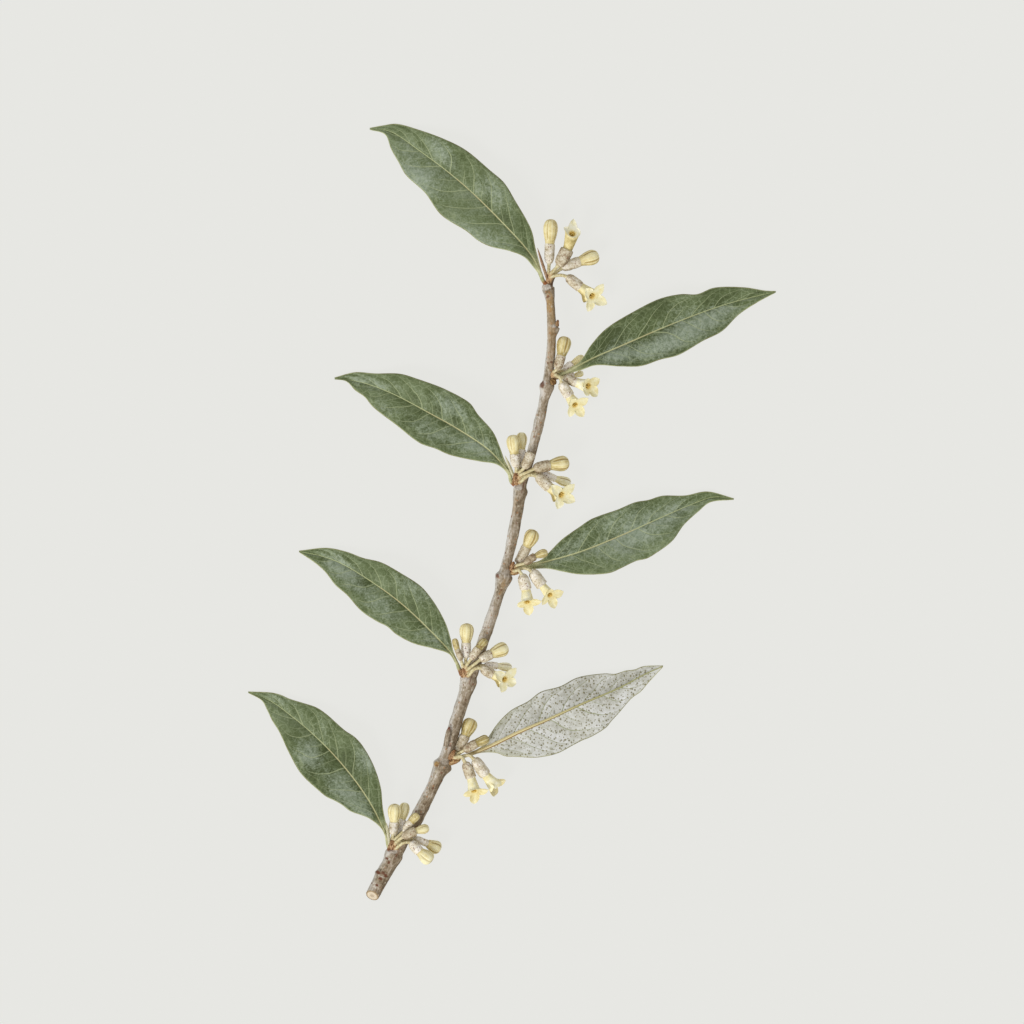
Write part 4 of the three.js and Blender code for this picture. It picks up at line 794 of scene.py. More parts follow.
def leaf_back_surface():
    p = Paint("leaf_back", 0.6, 0.25)
    off, edge, phase, reach, along = leaf_veins(p)
    since = phase.math("FRACT")
    cloud = p.noise(6.0, 3.0, 0.55)
    patch = p.noise(2.0, 4.0, 0.65, warp=0.6)
    grain = p.noise(0.7, 4.0, 0.7)
    value = p.swing(0.5, (cloud, 1.2), (patch, 0.9), (grain, 0.9))
    # Painted shade just before each side vein and painted light just past it, as on a quilted blade under
    # the light.
    value = value - since.rise(0.6, 1.0) * 0.08 + since.band(0.12, 0.04, 0.14) * 0.14
    color = p.ramp(value, (0.0, (158, 157, 144)), (0.3, (186, 185, 174)), (0.55, (204, 204, 196)),
                   (0.8, (217, 217, 213)), (1.0, (230, 230, 229)))
    olive = edge.fall(0.3, 2.2) * along.step(0.5, 0.0, 0.0, 0.5)
    vein = vein_lines(phase, reach) * along.rise(0.0, 0.03)
    color = p.layers(color, (olive, (158, 160, 120)), (vein * 0.85, (146, 150, 110)))
    dots = 0.0
    for size, shift, dot_color in ((1.25, 0.0, (108, 100, 60)), (1.0, 40.0, (134, 126, 84))):
        moved = p.shifted(p.place, shift)
        radius = p.noise(1.7, 1.0, place=moved).step(0.35, 0.65, 0.08, 0.2)
        dot = (p.cells(size, moved, random=0.85, flat=True) - radius).fall(-0.05, 0.05)
        color = p.mix(dot * 0.78, color, dot_color)
        dots = dot.math("MAXIMUM", dots)
    ribbed = off / along.step(0.0, 1.0, 0.5, 0.14)
    rib_light = p.mix(along.rise(0.2, 0.8), (226, 212, 160), (176, 174, 122))
    rib_dark = p.mix(along.rise(0.2, 0.8), (146, 112, 64), (132, 134, 88))
    # Painted shade on the rib's right-hand side and along both its edges.
    shaded = p.field("rib_mm").rise(0.0, 0.02) * ribbed.rise(0.2, 0.6)
    shaded = shaded.math("MAXIMUM", ribbed.step(0.8, 1.0, 0.0, 0.7))
    margin_color = p.mix(patch.rise(0.4, 0.6), (186, 184, 142), (160, 154, 108))
    color = p.layers(color, (ribbed.fall(0.85, 1.15), p.mix(shaded, rib_light, rib_dark)),
                     (edge.fall(0.1, 0.34) * 0.85, margin_color))
    color = stalk_paint(p, color, along, patch, (214, 200, 154), (172, 152, 104))
    return p.finish(color, grain * 0.05 + dots * 0.05)


def bark_surface():
    p = Paint("bark", 0.75, 0.2)
    c, s, run = p.field("bark_c"), p.field("bark_s"), p.field("bark_mm")
    side, cut_mm = p.field("side"), p.field("cut_mm")
    stretched = p.combine(c, s, run * 0.6)
    streak = p.noise(0.7, 4.0, 0.65, p.combine(c, s, run * 0.2))
    fine = p.noise(0.4, 3.0, 0.65, stretched)
    patch = p.noise(2.2, 4.0, 0.6, stretched)
    wrinkle = p.noise(0.8, 3.0, 0.6, p.combine(c * 0.4, s * 0.4, run))
    value = p.swing(0.52, (streak, 1.7), (fine, 1.5), (patch, 1.3), (wrinkle, 0.6))
    color = p.ramp(value + p.field("pale"), (0.0, (80, 70, 55)), (0.22, (109, 96, 77)),
                   (0.42, (139, 126, 105)), (0.6, (159, 147, 127)), (0.8, (178, 167, 150)),
                   (1.0, (204, 196, 184)))
    # Warmer brown over the bark away from its left side and a silvery film on its left side: the bark's
    # own colours, laid out as painted shade and painted light.
    brown_and_shade = p.swing(side, (patch, 1.4)).step(0.5, 0.0, 0.0, 0.28)
    film_and_light = p.swing(side, (streak, 1.0)).step(0.5, 0.85, 0.0, 0.42)
    orange = p.field("orange") * streak.step(0.4, 0.6, 0.5, 1.0)
    place = p.combine(c, s, run)
    spot = p.cells(2.3, place).step(0.09, 0.17, 0.8, 0.0)
    color = p.layers(color, (brown_and_shade, (140, 116, 88)), (film_and_light, (188, 187, 182)),
                     (orange, (162, 128, 74)), (spot, (116, 80, 60)))
    for size, shift, fleck_color in ((1.35, 20.0, (168, 120, 80)), (1.5, 60.0, (196, 186, 164))):
        fleck = p.cells(size, p.shifted(place, shift)).step(0.12, 0.25, 0.6, 0.0)
        color = p.mix(fleck, color, fleck_color)
    collar = p.mix(fine.rise(0.35, 0.65), (172, 163, 150), (212, 205, 192))
    year_rings = (cut_mm * 16.0).math("SINE") + fine * 3.0
    wood = p.mix(year_rings.rise(0.5, 2.4), (226, 214, 192), (190, 172, 142))
    pith = cut_mm.step(0.3, 0.85, 0.9, 0.0) * fine.rise(0.35, 0.6)
    wood = p.layers(wood, (pith, (158, 138, 112)), (cut_mm.rise(1.34, 1.5), (152, 128, 92)))
    color = p.layers(color, (p.field("collar"), collar), (p.field("scar"), (104, 62, 42)),
                     (p.field("cut"), wood))
    return p.finish(color, streak * 0.2 + (fine * 0.12 + wrinkle * 0.12) + spot * 0.08, 0.8)


def flower_surface():
    p = Paint("flower", 0.55, 0.25)
    cloud = p.noise(1.3, 3.0, 0.55)
    grain = p.noise(0.45, 4.0, 0.7)
    shade, flank, seam = p.field("shade"), p.field("flank"), p.field("seam")
    value = (cloud - 0.5) * 0.9 + (grain - 0.5) * 0.6 + 0.74 + shade * -0.5
    # The sides of the head, the base and the stalk are darkened in this material as painted shade.
    value = value - flank * 0.42 - p.field("low") * 0.12
    color = p.ramp(value, (0.0, (160, 142, 84)), (0.2, (196, 177, 114)), (0.42, (220, 203, 144)),
                   (0.65, (233, 222, 170)), (0.85, (240, 233, 192)), (1.0, (245, 241, 216)))
    dot = p.cells(0.9).step(0.14, 0.34, 0.8, 0.0) * p.field("spots")
    # The throat's gold darkens inwards, partly as painted shade deep in the tube.
    inner = p.field("throat")
    throat = p.ramp(inner, (0.0, (232, 214, 150)), (0.3, (226, 200, 120)), (0.55, (210, 176, 90)),
                    (0.75, (196, 160, 76)), (1.0, (166, 132, 58)))
    silver = p.swing(0.7, (cloud, 1.2), (grain, 1.5)) + shade * -0.4 - flank * 0.36
    silver = p.ramp(silver, (0.0, (132, 112, 84)), (0.25, (180, 164, 134)), (0.5, (211, 200, 174)),
                    (0.75, (232, 224, 206)), (1.0, (248, 243, 236)))
    fleck_size = p.noise(0.9).step(0.36, 0.6, 0.06, 0.34)
    fleck = (p.cells(0.62, p.warped(0.5, 0.7)) - fleck_size).fall(-0.06, 0.06)
    silver = p.mix(fleck * 0.75, silver, (142, 104, 80))
    on_base = p.swing(p.field("base"), (grain, 1.3)).rise(0.42, 0.55)
    stalk = p.mix(grain.rise(0.4, 0.6), (224, 216, 176), (190, 174, 126))
    foot = p.field("foot") * grain.step(0.4, 0.6, 0.55, 1.0)
    stalk = p.layers(stalk, (flank * 0.6, (150, 126, 84)), (foot, (178, 136, 92)))
    # Beside each seam a pale band, partly the lobes' pale margins and partly a painted highlight.
    color = p.layers(
        color, (seam.band(0.14, 0.05, 0.1) * 0.4, (246, 240, 206)),
        (seam.step(0.1, 0.9, 0.0, 0.85), (164, 136, 74)), (dot, (128, 94, 58)),
        (p.field("tip"), (150, 128, 70)), (inner.rise(0.02, 0.3), throat), (on_base, silver),
        (p.field("stalk"), stalk))
    return p.finish(color, grain * 0.05 + fleck * on_base * 0.03)


def small_surface(name, dark, middle, light, rust=0.0):
    p = Paint(name, 0.65, 0.25)
    cloud = p.noise(0.8, 3.0, 0.6)
    grain = p.noise(0.25, 3.0, 0.6)
    ridge = p.field("ridge")
    # Paler where the pieces mark it: the scales' margins, partly in their own colour and partly as a
    # painted highlight, and the style in the stamens.
    value = (cloud - 0.5) * 1.3 + (grain - 0.5) * 0.8 + 0.42 + ridge * 0.55
    rusty = p.noise(0.9).rise(0.46, 0.56) * rust
    color = p.layers(p.ramp(value, (0.0, dark), (0.5, middle), (1.0, light)),
                     (rusty, (150, 92, 54)), (ridge * 0.6, light), (p.field("red") * 0.8, (120, 58, 40)))
    return p.finish(color, grain * 0.05 + cloud * 0.05)


SURFACES = {
    "bark": bark_surface(),
    "leaf_top": leaf_top_surface(),
    "leaf_back": leaf_back_surface(),
    "flower": flower_surface(),
    "scale": small_surface("scale", (66, 42, 24), (134, 98, 64), (214, 180, 136), 0.25),
    "bud": small_surface("brown_bud", (92, 64, 34), (150, 118, 76), (214, 184, 136), 0.35),
    "dark": small_surface("dark_bud", (62, 40, 20), (112, 80, 42), (186, 152, 102)),
    "side": small_surface("side_bud", (104, 88, 70), (148, 132, 110), (188, 176, 156)),
    "bract": small_surface("bract", (106, 78, 58), (150, 118, 90), (202, 176, 144)),
    "leafy": small_surface("leafy_bract", (150, 144, 106), (196, 190, 156), (226, 222, 200)),
    "anther": small_surface("anther", (176, 136, 52), (222, 188, 92), (242, 220, 140)),
}

# ---------------------------------------------------------------- twig


def twig_radius(y, along):
    taper = CUT_RADIUS + (END_RADIUS - CUT_RADIUS) * np.minimum(1, along * 1.1)
    swelling = np.zeros_like(y)
    for node in TWIG_NODES:
        away = y - node
        width = np.where(away < 0, SWELLING_BELOW, SWELLING_ABOVE)
        swelling += SWELLING * bell(away, width)
    tip = smooth((along - 1 + TIP_LENGTH) / TIP_LENGTH)
    return (taper + swelling) * (1 - tip) + TIP_RADIUS * tip


def cut_face(edge, way):
    """Rings from the middle of the cut end out to its edge, and each ring's share of the way."""
    shares = np.array([0.06, 0.2, 0.35, 0.5, 0.65, 0.78, 0.88, 0.95])
    middle = edge.mean(axis=0)
    face = []
    for share in shares:
        sunk = CUT_DEPTH * smooth((share - 0.6) / 0.4) * way
        face.append(middle + (edge - middle) * share + sunk - CUT_DEPTH * way)
    face = np.array(face)
    return face + (0.03 * waves(face, 0.7, 14))[..., None] * way, shares[:, None]


def twig():
    path = Curve(TWIG_PATH)
    along = np.linspace(0, 1, TWIG_STATIONS)
    share = path.share_at(along)
    centre, ahead = path.point(share), path.ahead(share)
    radius = twig_radius(centre[:, 1], along)
    angles = even_angles(TWIG_SIDES)
    c, s = radius[:, None] * np.cos(angles), radius[:, None] * np.sin(angles)
    run = np.broadcast_to((along * path.length)[:, None], c.shape)

    def bark_place(narrow, stretch):
        return np.stack([c * narrow, s * narrow, run * stretch], axis=-1)

    relief = 0.045 * waves(bark_place(1, 0.12), 0.9, 11) + 0.035 * waves(bark_place(0.5, 1), 1.6, 12)
    relief += 0.08 * waves(bark_place(0.5, 1) * 0.4, 3.0, 13)
    for y, angle, height, below, above in TWIG_BULGES:
        away = centre[:, 1] - y
        length = bell(away, np.where(away < 0, below, above))
        facing = np.maximum(0, np.cos(angles - math.radians(angle))) ** 2
        relief += height * length[:, None] * facing
    radii = radius[:, None] + relief * smooth((1 - along) / 0.01)[:, None]
    rings = ring(centre, ahead, radii, angles)
    slant = np.clip(1 - run / (path.length / 43), 0, 1) * CUT_SLANT
    rings += (slant * np.sin(angles))[..., None] * ahead[:, None]
    rings = rest_on_surface(rings)
    face, face_shares = cut_face(rings[0], ahead[0])
    rows = len(face)
    everything = join([face, rings])

    def with_face(on_face, on_bark):
        """Values over the cut face, then over the bark."""
        return join([np.broadcast_to(on_face, (rows, len(angles))),
                               np.broadcast_to(on_bark, c.shape)])

    left = np.cos(angles)
    fields = {"bark_c": with_face(0.0, c), "bark_s": with_face(0.0, s), "side": with_face(0.0, left),
              "bark_mm": with_face(0.0, run), "cut": with_face(1.0, 0.0),
              "cut_mm": with_face(face_shares * radius[0], radius[0])}
    middles = everything[..., 2].mean(axis=1)[:, None]
    ways = join([np.repeat(ahead[:1], rows, axis=0), ahead])[:, None, :2]
    sides = np.stack([-ways[..., 1], ways[..., 0]], axis=-1)
    top = smooth((everything[..., 2] - middles) / 0.5 + 0.5)
    for field, marks in BARK_MARKS.items():
        fields[field] = np.zeros(top.shape)
        for x, y, wide, high, strength in marks:
            gap = everything[..., :2] - np.array([x, y])
            reach = ((gap * sides).sum(-1) / wide) ** 2 + ((gap * ways).sum(-1) / high) ** 2
            mark = strength * smooth(2.2 * (1.35 - reach)) * top
            fields[field] = np.maximum(fields[field], mark)
    tone = np.interp(centre[:, 1], *np.array(BARK_TONE).T)[:, None]
    # Painted light and shade: the bark is paler on its left side and darker on its right.
    fields["pale"] = fields["pale"] + with_face(0.0, 0.06 + 0.24 * left + tone)
    make_piece("twig_bark", [(everything, fields)], ["bark"], "twig")


# ---------------------------------------------------------------- leaves


def leaf_columns():
    """Places across a leaf from its left edge, -1, to its right edge, 1, closest at the rib."""
    half = np.linspace(0, 1, HALF_COLUMNS + 1)[1:]
    spread = 0.25 * half + 0.75 * half ** 1.9
    return join([-spread[::-1], [0.0], spread])


def vein_phase(along, across_share, count, turn, seed, place):
    """Counts veins: each whole number is a vein that leaves the rib and sweeps towards the tip."""
    sweep = 0.13 * across_share + 0.10 * across_share ** 4
    return count * (along - sweep) + turn + 0.16 * waves(place, 12.0, seed)


def silver_patches(leaf, place):
    """Where the silvery bloom on a leaf lies thickest: soft ovals at x, y with two half sizes."""
    bloom = np.full(place.shape[:2], LEAST_BLOOM)
    for x, y, long, wide, angle, strength in SILVER.get(leaf["name"], ()):
        gap = place[..., :2] - np.array([x, y])
        c, s = math.cos(math.radians(angle)), math.sin(math.radians(angle))
        along = (gap[..., 0] * c + gap[..., 1] * s) / long
        aside = (gap[..., 1] * c - gap[..., 0] * s) / wide
        bloom += BLOOM_STRENGTH * strength * np.exp(-along ** 2 - aside ** 2)
    return bloom


def painted_leaf_light(leaf, along, v):
    """Painted light and shade: how much lighter or darker a leaf is than its usual green, at each station
    and column.
    """
    rows = np.array(PAINTED_LEAF_LIGHT.get(leaf["name"], [(0.0, 0.0, 0.0)])).T
    left, right = (np.interp(along, rows[0], amounts)[:, None] for amounts in rows[1:])
    return left + (right - left) * smooth(v / 0.1 + 0.5)[None]


def leaf_lines(leaf, seed):
    """A leaf's middle line and two edges, from the root of its stalk on, and how far along they are.

    The stalk runs from -1 to 0 and the blade from 0 to 1. The last value is the stalk's half width.
    """
    rib, left, right = (Curve(leaf[key]) for key in ("rib", "left", "right"))
    along = np.linspace(0, 1, LEAF_STATIONS)
    middle = rib.point(rib.share_at(along))
    belly = np.sin(np.pi * along)
    ripple = leaf["wave"] * belly * np.sin(math.tau * leaf["waves"] * along + leaf["phase"])
    stalk_line = Curve([ROOTS[leaf["name"][-1]][0], leaf["foot"], *leaf["rib"][:2]])
    stalk_share = np.linspace(0, 1, STALK_STATIONS, endpoint=False)
    # The stalk's line has three equal steps and the last one belongs to the blade.
    stalk_middle = stalk_line.point(stalk_share * 2 / 3)
    side, _ = across(stalk_line.ahead(stalk_share * 2 / 3))
    half_width = leaf["petiole"] * (1 + 0.2 * smooth(1 - stalk_share * 2.5))
    widening = smooth((stalk_share - 0.55) / 0.45)
    edges = []
    for edge, lift, sign in ((left, leaf["lift"][0], 1), (right, leaf["lift"][1], -1)):
        points = edge.point(edge.share_at(along))
        fine = waves(np.stack([along * 60, along * 0, along * 0 + sign], axis=-1), 5.0, seed + 40 + sign)
        points[:, 2] = middle[:, 2] + lift * belly + ripple * sign + 0.12 * fine * belly
        blade_half = np.linalg.norm((points[0] - middle[0])[:2])
        half = half_width + (blade_half - half_width) * widening
        edges.append(join([stalk_middle + sign * side * half[:, None], points]))
    stalk_along = stalk_share - 1
    along = join([stalk_along, along])
    stalk = np.where(along < 0, np.interp(along, stalk_along, half_width), leaf["petiole"])
    return join([stalk_middle, middle]), edges, along, stalk[:, None]


def leaf_piece(leaf, seed):
    leaf = {**LEAF, **leaf}
    facing = -1.0 if leaf["underside"] else 1.0
    middle, edges, along, stalk = leaf_lines(leaf, seed)
    v = leaf_columns()
    share = np.abs(v)
    outer = np.where((v < 0)[None, :, None], edges[0][:, None], edges[1][:, None])
    sheet = middle[:, None] + share[None, :, None] * (outer - middle[:, None])
    width = np.linalg.norm(outer - middle[:, None], axis=-1)
    off = share * width
    blade_along = np.clip(along, 0, 1)[:, None]
    belly = np.sin(np.pi * blade_along)
    phases = [vein_phase(blade_along, share[None], leaf["veins"], turn, seed + i, sheet)
              for i, turn in enumerate(VEIN_TURNS)]
    on_blade = smooth(along / 0.12)[:, None]
    quilt = (1 - np.cos(math.tau * np.where(v < 0, *phases))) / 2
    quilt = quilt * smooth(share / 0.25) * smooth((1 - share) / 0.3) * on_blade
    camber = facing * leaf["camber"] * 4 * share * (1 - share) * belly
    ripple = 0.10 * waves(sheet, 7.0, seed + 5) * on_blade * belly
    sheet[..., 2] += camber + ripple + facing * leaf["quilting"] * (quilt - 0.5) * on_blade
    round_half = stalk * np.sqrt(np.clip(1 - (off / stalk) ** 2, 0, 1))
    flat_half = leaf["blade"] * np.sqrt(np.clip(1 - share ** 8, 0, 1))[None]
    flat = smooth(along / 0.1)[:, None]
    half = round_half * (1 - flat) + flat_half * flat
    half = np.where(along[:, None] >= 0, np.maximum(half, flat_half), half)
    thin = 1 - 0.8 * blade_along
    ridge = 0.42 * thin * bell(off, 0.2 + 0.35 * thin) * flat
    groove = 0.16 * thin * bell(off, 0.15 + 0.2 * thin) * flat
    top, bottom = sheet.copy(), sheet.copy()
    top[..., 2] += half + (ridge if facing < 0 else -groove)
    bottom[..., 2] -= half + (ridge if facing > 0 else -groove)

    def around(upper, lower):
        """The upper side from left to right, and the lower side back again."""
        return join([upper, lower[:, -2:0:-1]], axis=1)

    # Painted light and shade on each half of the leaf.
    light = painted_leaf_light(leaf, along, v)
    fields = {
        "rib_mm": off * np.sign(v), "edge_mm": (1 - share) * width, "vein_left": phases[0],
        "vein_right": phases[1], "along": np.broadcast_to(along[:, None], off.shape),
        "tone": leaf["tone"] + light, "silver": silver_patches(leaf, sheet) + light,
    }
    fields = {field: around(values, values) for field, values in fields.items()}
    rings = rest_on_surface(around(top, bottom))
    surfaces = ["leaf_top", "leaf_back"]
    if leaf["underside"]:
        surfaces.reverse()
    make_piece(leaf["name"] + "_blade", [(rings, fields)], surfaces, leaf["name"])


# ---------------------------------------------------------------- buds and flowers


def flower_path(flower):
    """The middle line, with the root its stalk bends on to and the step where its base begins."""
    path = Curve(flower["path"])
    path.root = np.array(ROOTS[flower["name"][-2]][1])
    path.neck = path.count - 3
    return path


def on_path(path, spots):
    """Centres and ways ahead. Before the path's first point the stalk bends on to its root."""
    place = path.neck + spots
    share = np.clip(place / (path.count - 1), 0, 1)
    centre, ahead = path.point(share), path.ahead(share)
    t = np.clip(-place, 0, 1)[:, None]
    start = path.point(0)
    bend = start - path.ahead(0) * 0.4 * np.linalg.norm(path.root - start)
    before = (1 - t) ** 2 * start + 2 * t * (1 - t) * bend + t ** 2 * path.root
    before_ahead = unit((1 - t) * (start - bend) + t * (bend - path.root))
    inside = place[:, None] < 0
    return np.where(inside, before, centre), np.where(inside, before_ahead, ahead)


def stalk_and_base(flower, neck):
    """Spots along the stalk and the silvery base, and the radius at each."""
    stalk_spots = np.linspace(-neck - 1, -0.03, 30)
    thickness = STALK_RADIUS + (STALK_FOOT_RADIUS - STALK_RADIUS) * smooth(-stalk_spots - neck + 0.4)
    base_foot = flower["base"] * BASE_PROFILE[0][1]
    thickness += (base_foot - STALK_RADIUS) * smooth((stalk_spots + 0.3) / 0.3)
    outline = [(spot, flower["base"] * (part + (1 - part) * flower["full"] * (spot > 0)))
               for spot, part in BASE_PROFILE]
    base_spots, base_radii = profile(outline, 30)
    return join([stalk_spots, base_spots]), join([thickness, base_radii])


def flower_fields(flower, neck, spots, rings):
    out = unit(rings - rings.mean(axis=1, keepdims=True))
    # Painted shade: darker towards the sides of each ring, and most on the side facing SHADED_WAY.
    level = np.linalg.norm(out[..., :2], axis=-1) ** 4
    away = np.maximum(0, out @ SHADED_WAY) ** 3
    on_head = smooth((spots - 0.95) / 0.1)
    scurf = flower["scurf"] * on_head * smooth((2.0 - spots) / 0.15)
    fields = {
        "base": np.maximum(smooth((1.12 - spots) / 0.2), scurf),
        "stalk": smooth((0.06 - spots) / 0.2),
        "foot": smooth((0.05 - spots - neck) / 0.6),
        "low": smooth((1.45 - spots) / 0.35),
        "shade": flower["shade"] * on_head + flower["base_shade"] * (1 - on_head),
        "spots": flower["spots"] * on_head,
    }
    fields = {field: np.broadcast_to(values[:, None], level.shape) for field, values in fields.items()}
    return {**fields, "flank": 0.4 * level + 0.85 * away}


def bud(flower, seed):
    path = flower_path(flower)
    spots, radii = stalk_and_base(flower, path.neck)
    outline = [(spot, flower["head"] * (part + (1 - part) * flower["neck"] * (spot < 1.65)))
               for spot, part in BUD_PROFILE]
    head_spots, head_radii = profile(outline, 48)
    spots, radii = join([spots, head_spots]), join([radii, head_radii])
    centre, ahead = on_path(path, spots)
    angles = even_angles(BUD_SIDES)
    head = smooth((spots - 1.0) / 0.03)[:, None]
    turn = math.radians(flower["turn"])
    gap = np.abs((angles - turn) % (math.pi / 2) - math.pi / 4)
    closed = smooth((spots - 1.05) / 0.3)[:, None]
    seam = bell(gap, 0.15) * closed
    bulge = 0.04 * np.cos(4 * (angles - turn)) * closed
    lip = 0.03 * bell(gap - 0.26, 0.09) * closed
    shape = radii[:, None] * (1 + bulge - 0.1 * seam + lip)
    rings = ring(centre, ahead, shape, angles)
    rough = 0.03 * waves(rings, 0.7, seed) * smooth(spots / 0.1)[:, None] * (1 - head)
    rough += 0.02 * waves(rings, 1.5, seed + 1) * head
    rings = rest_on_surface(ring(centre, ahead, shape + rough, angles))
    fields = flower_fields(flower, path.neck, spots, rings)
    ridge = 0.28 * bell(gap - math.pi / 4, 0.1) * closed
    fields["seam"] = np.maximum(seam, ridge) * flower["seams"]
    fields["tip"] = 0.7 * smooth((spots - 1.983) / 0.012)[:, None]
    make_piece(flower["name"] + "_bud", [(rings, fields)], ["flower"], flower["name"])


def lobe_tips(flower, facing):
    """Each lobe's tip from the middle of the mouth, in order round it, with its angle.

    A lobe without a height of its own lies in the plane of the mouth.
    """
    side, top = across(facing)
    tips = []
    for x, y, *own in flower["lobes"]:
        z = own[0] if own else -(x * facing[0] + y * facing[1]) / facing[2]
        tip = np.array([x, y, z])
        tips.append((math.atan2(tip @ top, tip @ side), tip))
    return sorted(tips, key=lambda entry: entry[0])


def mouth_outline(flower, facing, tips, turn):
    """The edge of the lobes round the mouth, from notch to tip to notch, and each lobe's middle."""
    side, top = across(facing)
    head, quarter = flower["head"], math.tau / len(tips)
    per_lobe = OPEN_SIDES // len(tips)
    outline, middle_line = np.zeros((OPEN_SIDES, 3)), np.zeros(OPEN_SIDES)
    for j in range(OPEN_SIDES):
        i = j // per_lobe
        angle, tip = tips[i]
        place = j % per_lobe / per_lobe * 4 - 2
        # 0 at a notch beside the lobe and 1 at its tip.
        t = 1 - abs(place) / 2
        sign = -1 if place < 0 else 1
        even = turn + i * quarter
        room = quarter / 2 + sign * (even - angle)
        length = np.linalg.norm(tip)
        reach = head + (length - head) * SHOULDER_REACH
        half = min(flower["lobe_width"], reach * math.tan(room * SHOULDER_ROOM))
        way, wide = tip / length, unit(np.cross(facing, tip)) * sign
        notch_angle = even + sign * quarter / 2
        notch = head * (math.cos(notch_angle) * side + math.sin(notch_angle) * top)
        shoulder = way * reach + wide * half * 1.3
        near_tip = way * (reach + (length - reach) * 0.7) + wide * half * 0.48
        outline[j] = ((1 - t) ** 3 * notch + 3 * (1 - t) ** 2 * t * shoulder
                      + 3 * (1 - t) * t ** 2 * near_tip + t ** 3 * tip)
        middle_line[j] = bell(place, 0.35)
    return outline, middle_line


def open_flower(flower, seed):
    path = flower_path(flower)
    spots, radii = stalk_and_base(flower, path.neck)
    head = flower["head"]
    mouth, mouth_ahead = (value[0] for value in on_path(path, np.array([2.0])))
    facing = unit(mouth_ahead + UP * flower["tilt"])
    side, top = across(facing)
    tips = lobe_tips(flower, facing)
    quarter = math.tau / len(tips)
    turn = sum(angle - i * quarter for i, (angle, _) in enumerate(tips)) / len(tips)
    angles = turn + (np.arange(OPEN_SIDES) / (OPEN_SIDES // len(tips)) - 0.5) * quarter
    outline, middle_line = mouth_outline(flower, facing, tips, turn)
    outline += mouth

    # The tube turns from the stalk's way ahead towards the way that the mouth faces.
    tube_spots, tube_radii = profile([(spot, part * head) for spot, part in TUBE_PROFILE], 16)
    tube_turn = np.interp(tube_spots, [1.03, 1.1, 1.4, 1.7], [0, 0, 0.35, 0.75])[:, None]
    tube_centre, tube_ahead = on_path(path, tube_spots)
    tube_ahead = unit(tube_ahead * (1 - tube_turn) + facing * tube_turn)
    squared = 1 + 0.05 * np.cos(4 * (angles - turn))
    # The tail is a corner of the tube, drawn out to the right of its way ahead.
    corner = unit(np.cross(mouth_ahead, UP))
    gap = angle_from(angles, math.atan2(corner @ top, corner @ side))
    tail = flower["tail"] * bell(gap, 0.36) * smooth((tube_spots - 1.3) / 0.4)[:, None]
    tube = ring(tube_centre, tube_ahead, tube_radii[:, None] * squared + tail, angles)
    last = ring(tube_centre[-1:], tube_ahead[-1:], (tube_radii[-1] - 0.1) * squared[None], angles)[0]
    rim = mouth - facing * 0.35 + 0.96 * head * (np.cos(angles)[:, None] * side
                                                 + np.sin(angles)[:, None] * top)
    # The last steps are close together, so that the shading turns only at the very edge.
    q = np.array([*np.linspace(0, 1, 15)[1:-1], 0.975, 0.993, 1.0])[:, None, None]
    sheet = (1 - q) ** 2 * last + 2 * (1 - q) * q * rim + q ** 2 * outline
    spread = q[..., 0] ** 2
    sheet += facing * (0.10 * waves(sheet, 2.4, seed) * spread)[..., None]
    sheet -= facing * (0.12 * spread * middle_line)[..., None]
    grid = join([last[None], sheet])
    around = np.roll(grid, -1, axis=1) - np.roll(grid, 1, axis=1)
    normal = unit(np.cross(np.gradient(grid, axis=0), around))[1:]
    inward = normal * np.sign(((grid[0].mean(axis=0) - grid[1]) * normal[0]).sum())
    thin = LOBE_THICKNESS / 2 * (1 - 0.7 * spread)[..., None]
    back, front = sheet - inward * thin, sheet + inward * thin

    base_centre, base_ahead = on_path(path, spots)
    base_rings = ring(base_centre, base_ahead, radii[:, None] * np.ones(OPEN_SIDES), angles)
    rough = 0.03 * waves(base_rings, 0.7, seed) * smooth(spots / 0.1)[:, None]
    base_rings += rough[..., None] * unit(base_rings - base_centre[:, None])
    inside_spots, inside_shares, inside_turn, inside_gold = np.array(THROAT).T
    inside_centre, inside_ahead = on_path(path, inside_spots)
    inside_turn = inside_turn[:, None]
    inside_ahead = unit(inside_ahead * (1 - inside_turn) + facing * inside_turn)
    inside = ring(inside_centre, inside_ahead, inside_shares * head, angles)
    limb = front[LIMB_START:][::-1]
    rings = rest_on_surface(join([base_rings, tube, back, limb, inside]))

    on_tube = slice(len(spots), len(spots) + len(tube))
    first_front = on_tube.stop + len(back)
    on_limb = slice(first_front, first_front + len(limb))
    all_spots = join([spots, tube_spots, np.full(len(back) + len(limb), 1.8),
                                np.full(len(inside), 1.5)])
    fields = flower_fields(flower, path.neck, all_spots, rings)
    throat, crease = np.zeros(rings.shape[:2]), np.zeros(rings.shape[:2])
    from_mouth = np.linalg.norm(limb - mouth, axis=-1)
    throat[on_limb] = smooth((1.25 * head - from_mouth) / (0.8 * head)) * flower["gold"]
    throat[on_limb.stop:] = inside_gold[:, None]
    crease[on_limb] = (middle_line * spread)[LIMB_START:][::-1] * 0.25
    shade = np.array(fields["shade"])
    # The front of the lobes takes the limb's painted shade or light.
    shade[first_front:] = flower["limb"]
    # Painted shade along the tube on the side of its tail.
    below = flower["tail"] * bell(gap, 0.75) * smooth((tube_spots - 1.0) / 0.6)[:, None]
    shade[on_tube] += 2.7 * below
    # Past the first rows of their back, the lobes get none of the painted shade on their sides that the
    # tube gets.
    flank = np.array(fields["flank"])
    flank[on_tube.stop + 3:] = 0.0
    fields.update(throat=throat, seam=crease, shade=shade, flank=flank)
    make_piece(flower["name"] + "_bloom", [(rings, fields)], ["flower"], flower["name"])
    stamens(flower, on_path(path, np.array([STAMENS_AT]))[0][0], facing, turn)


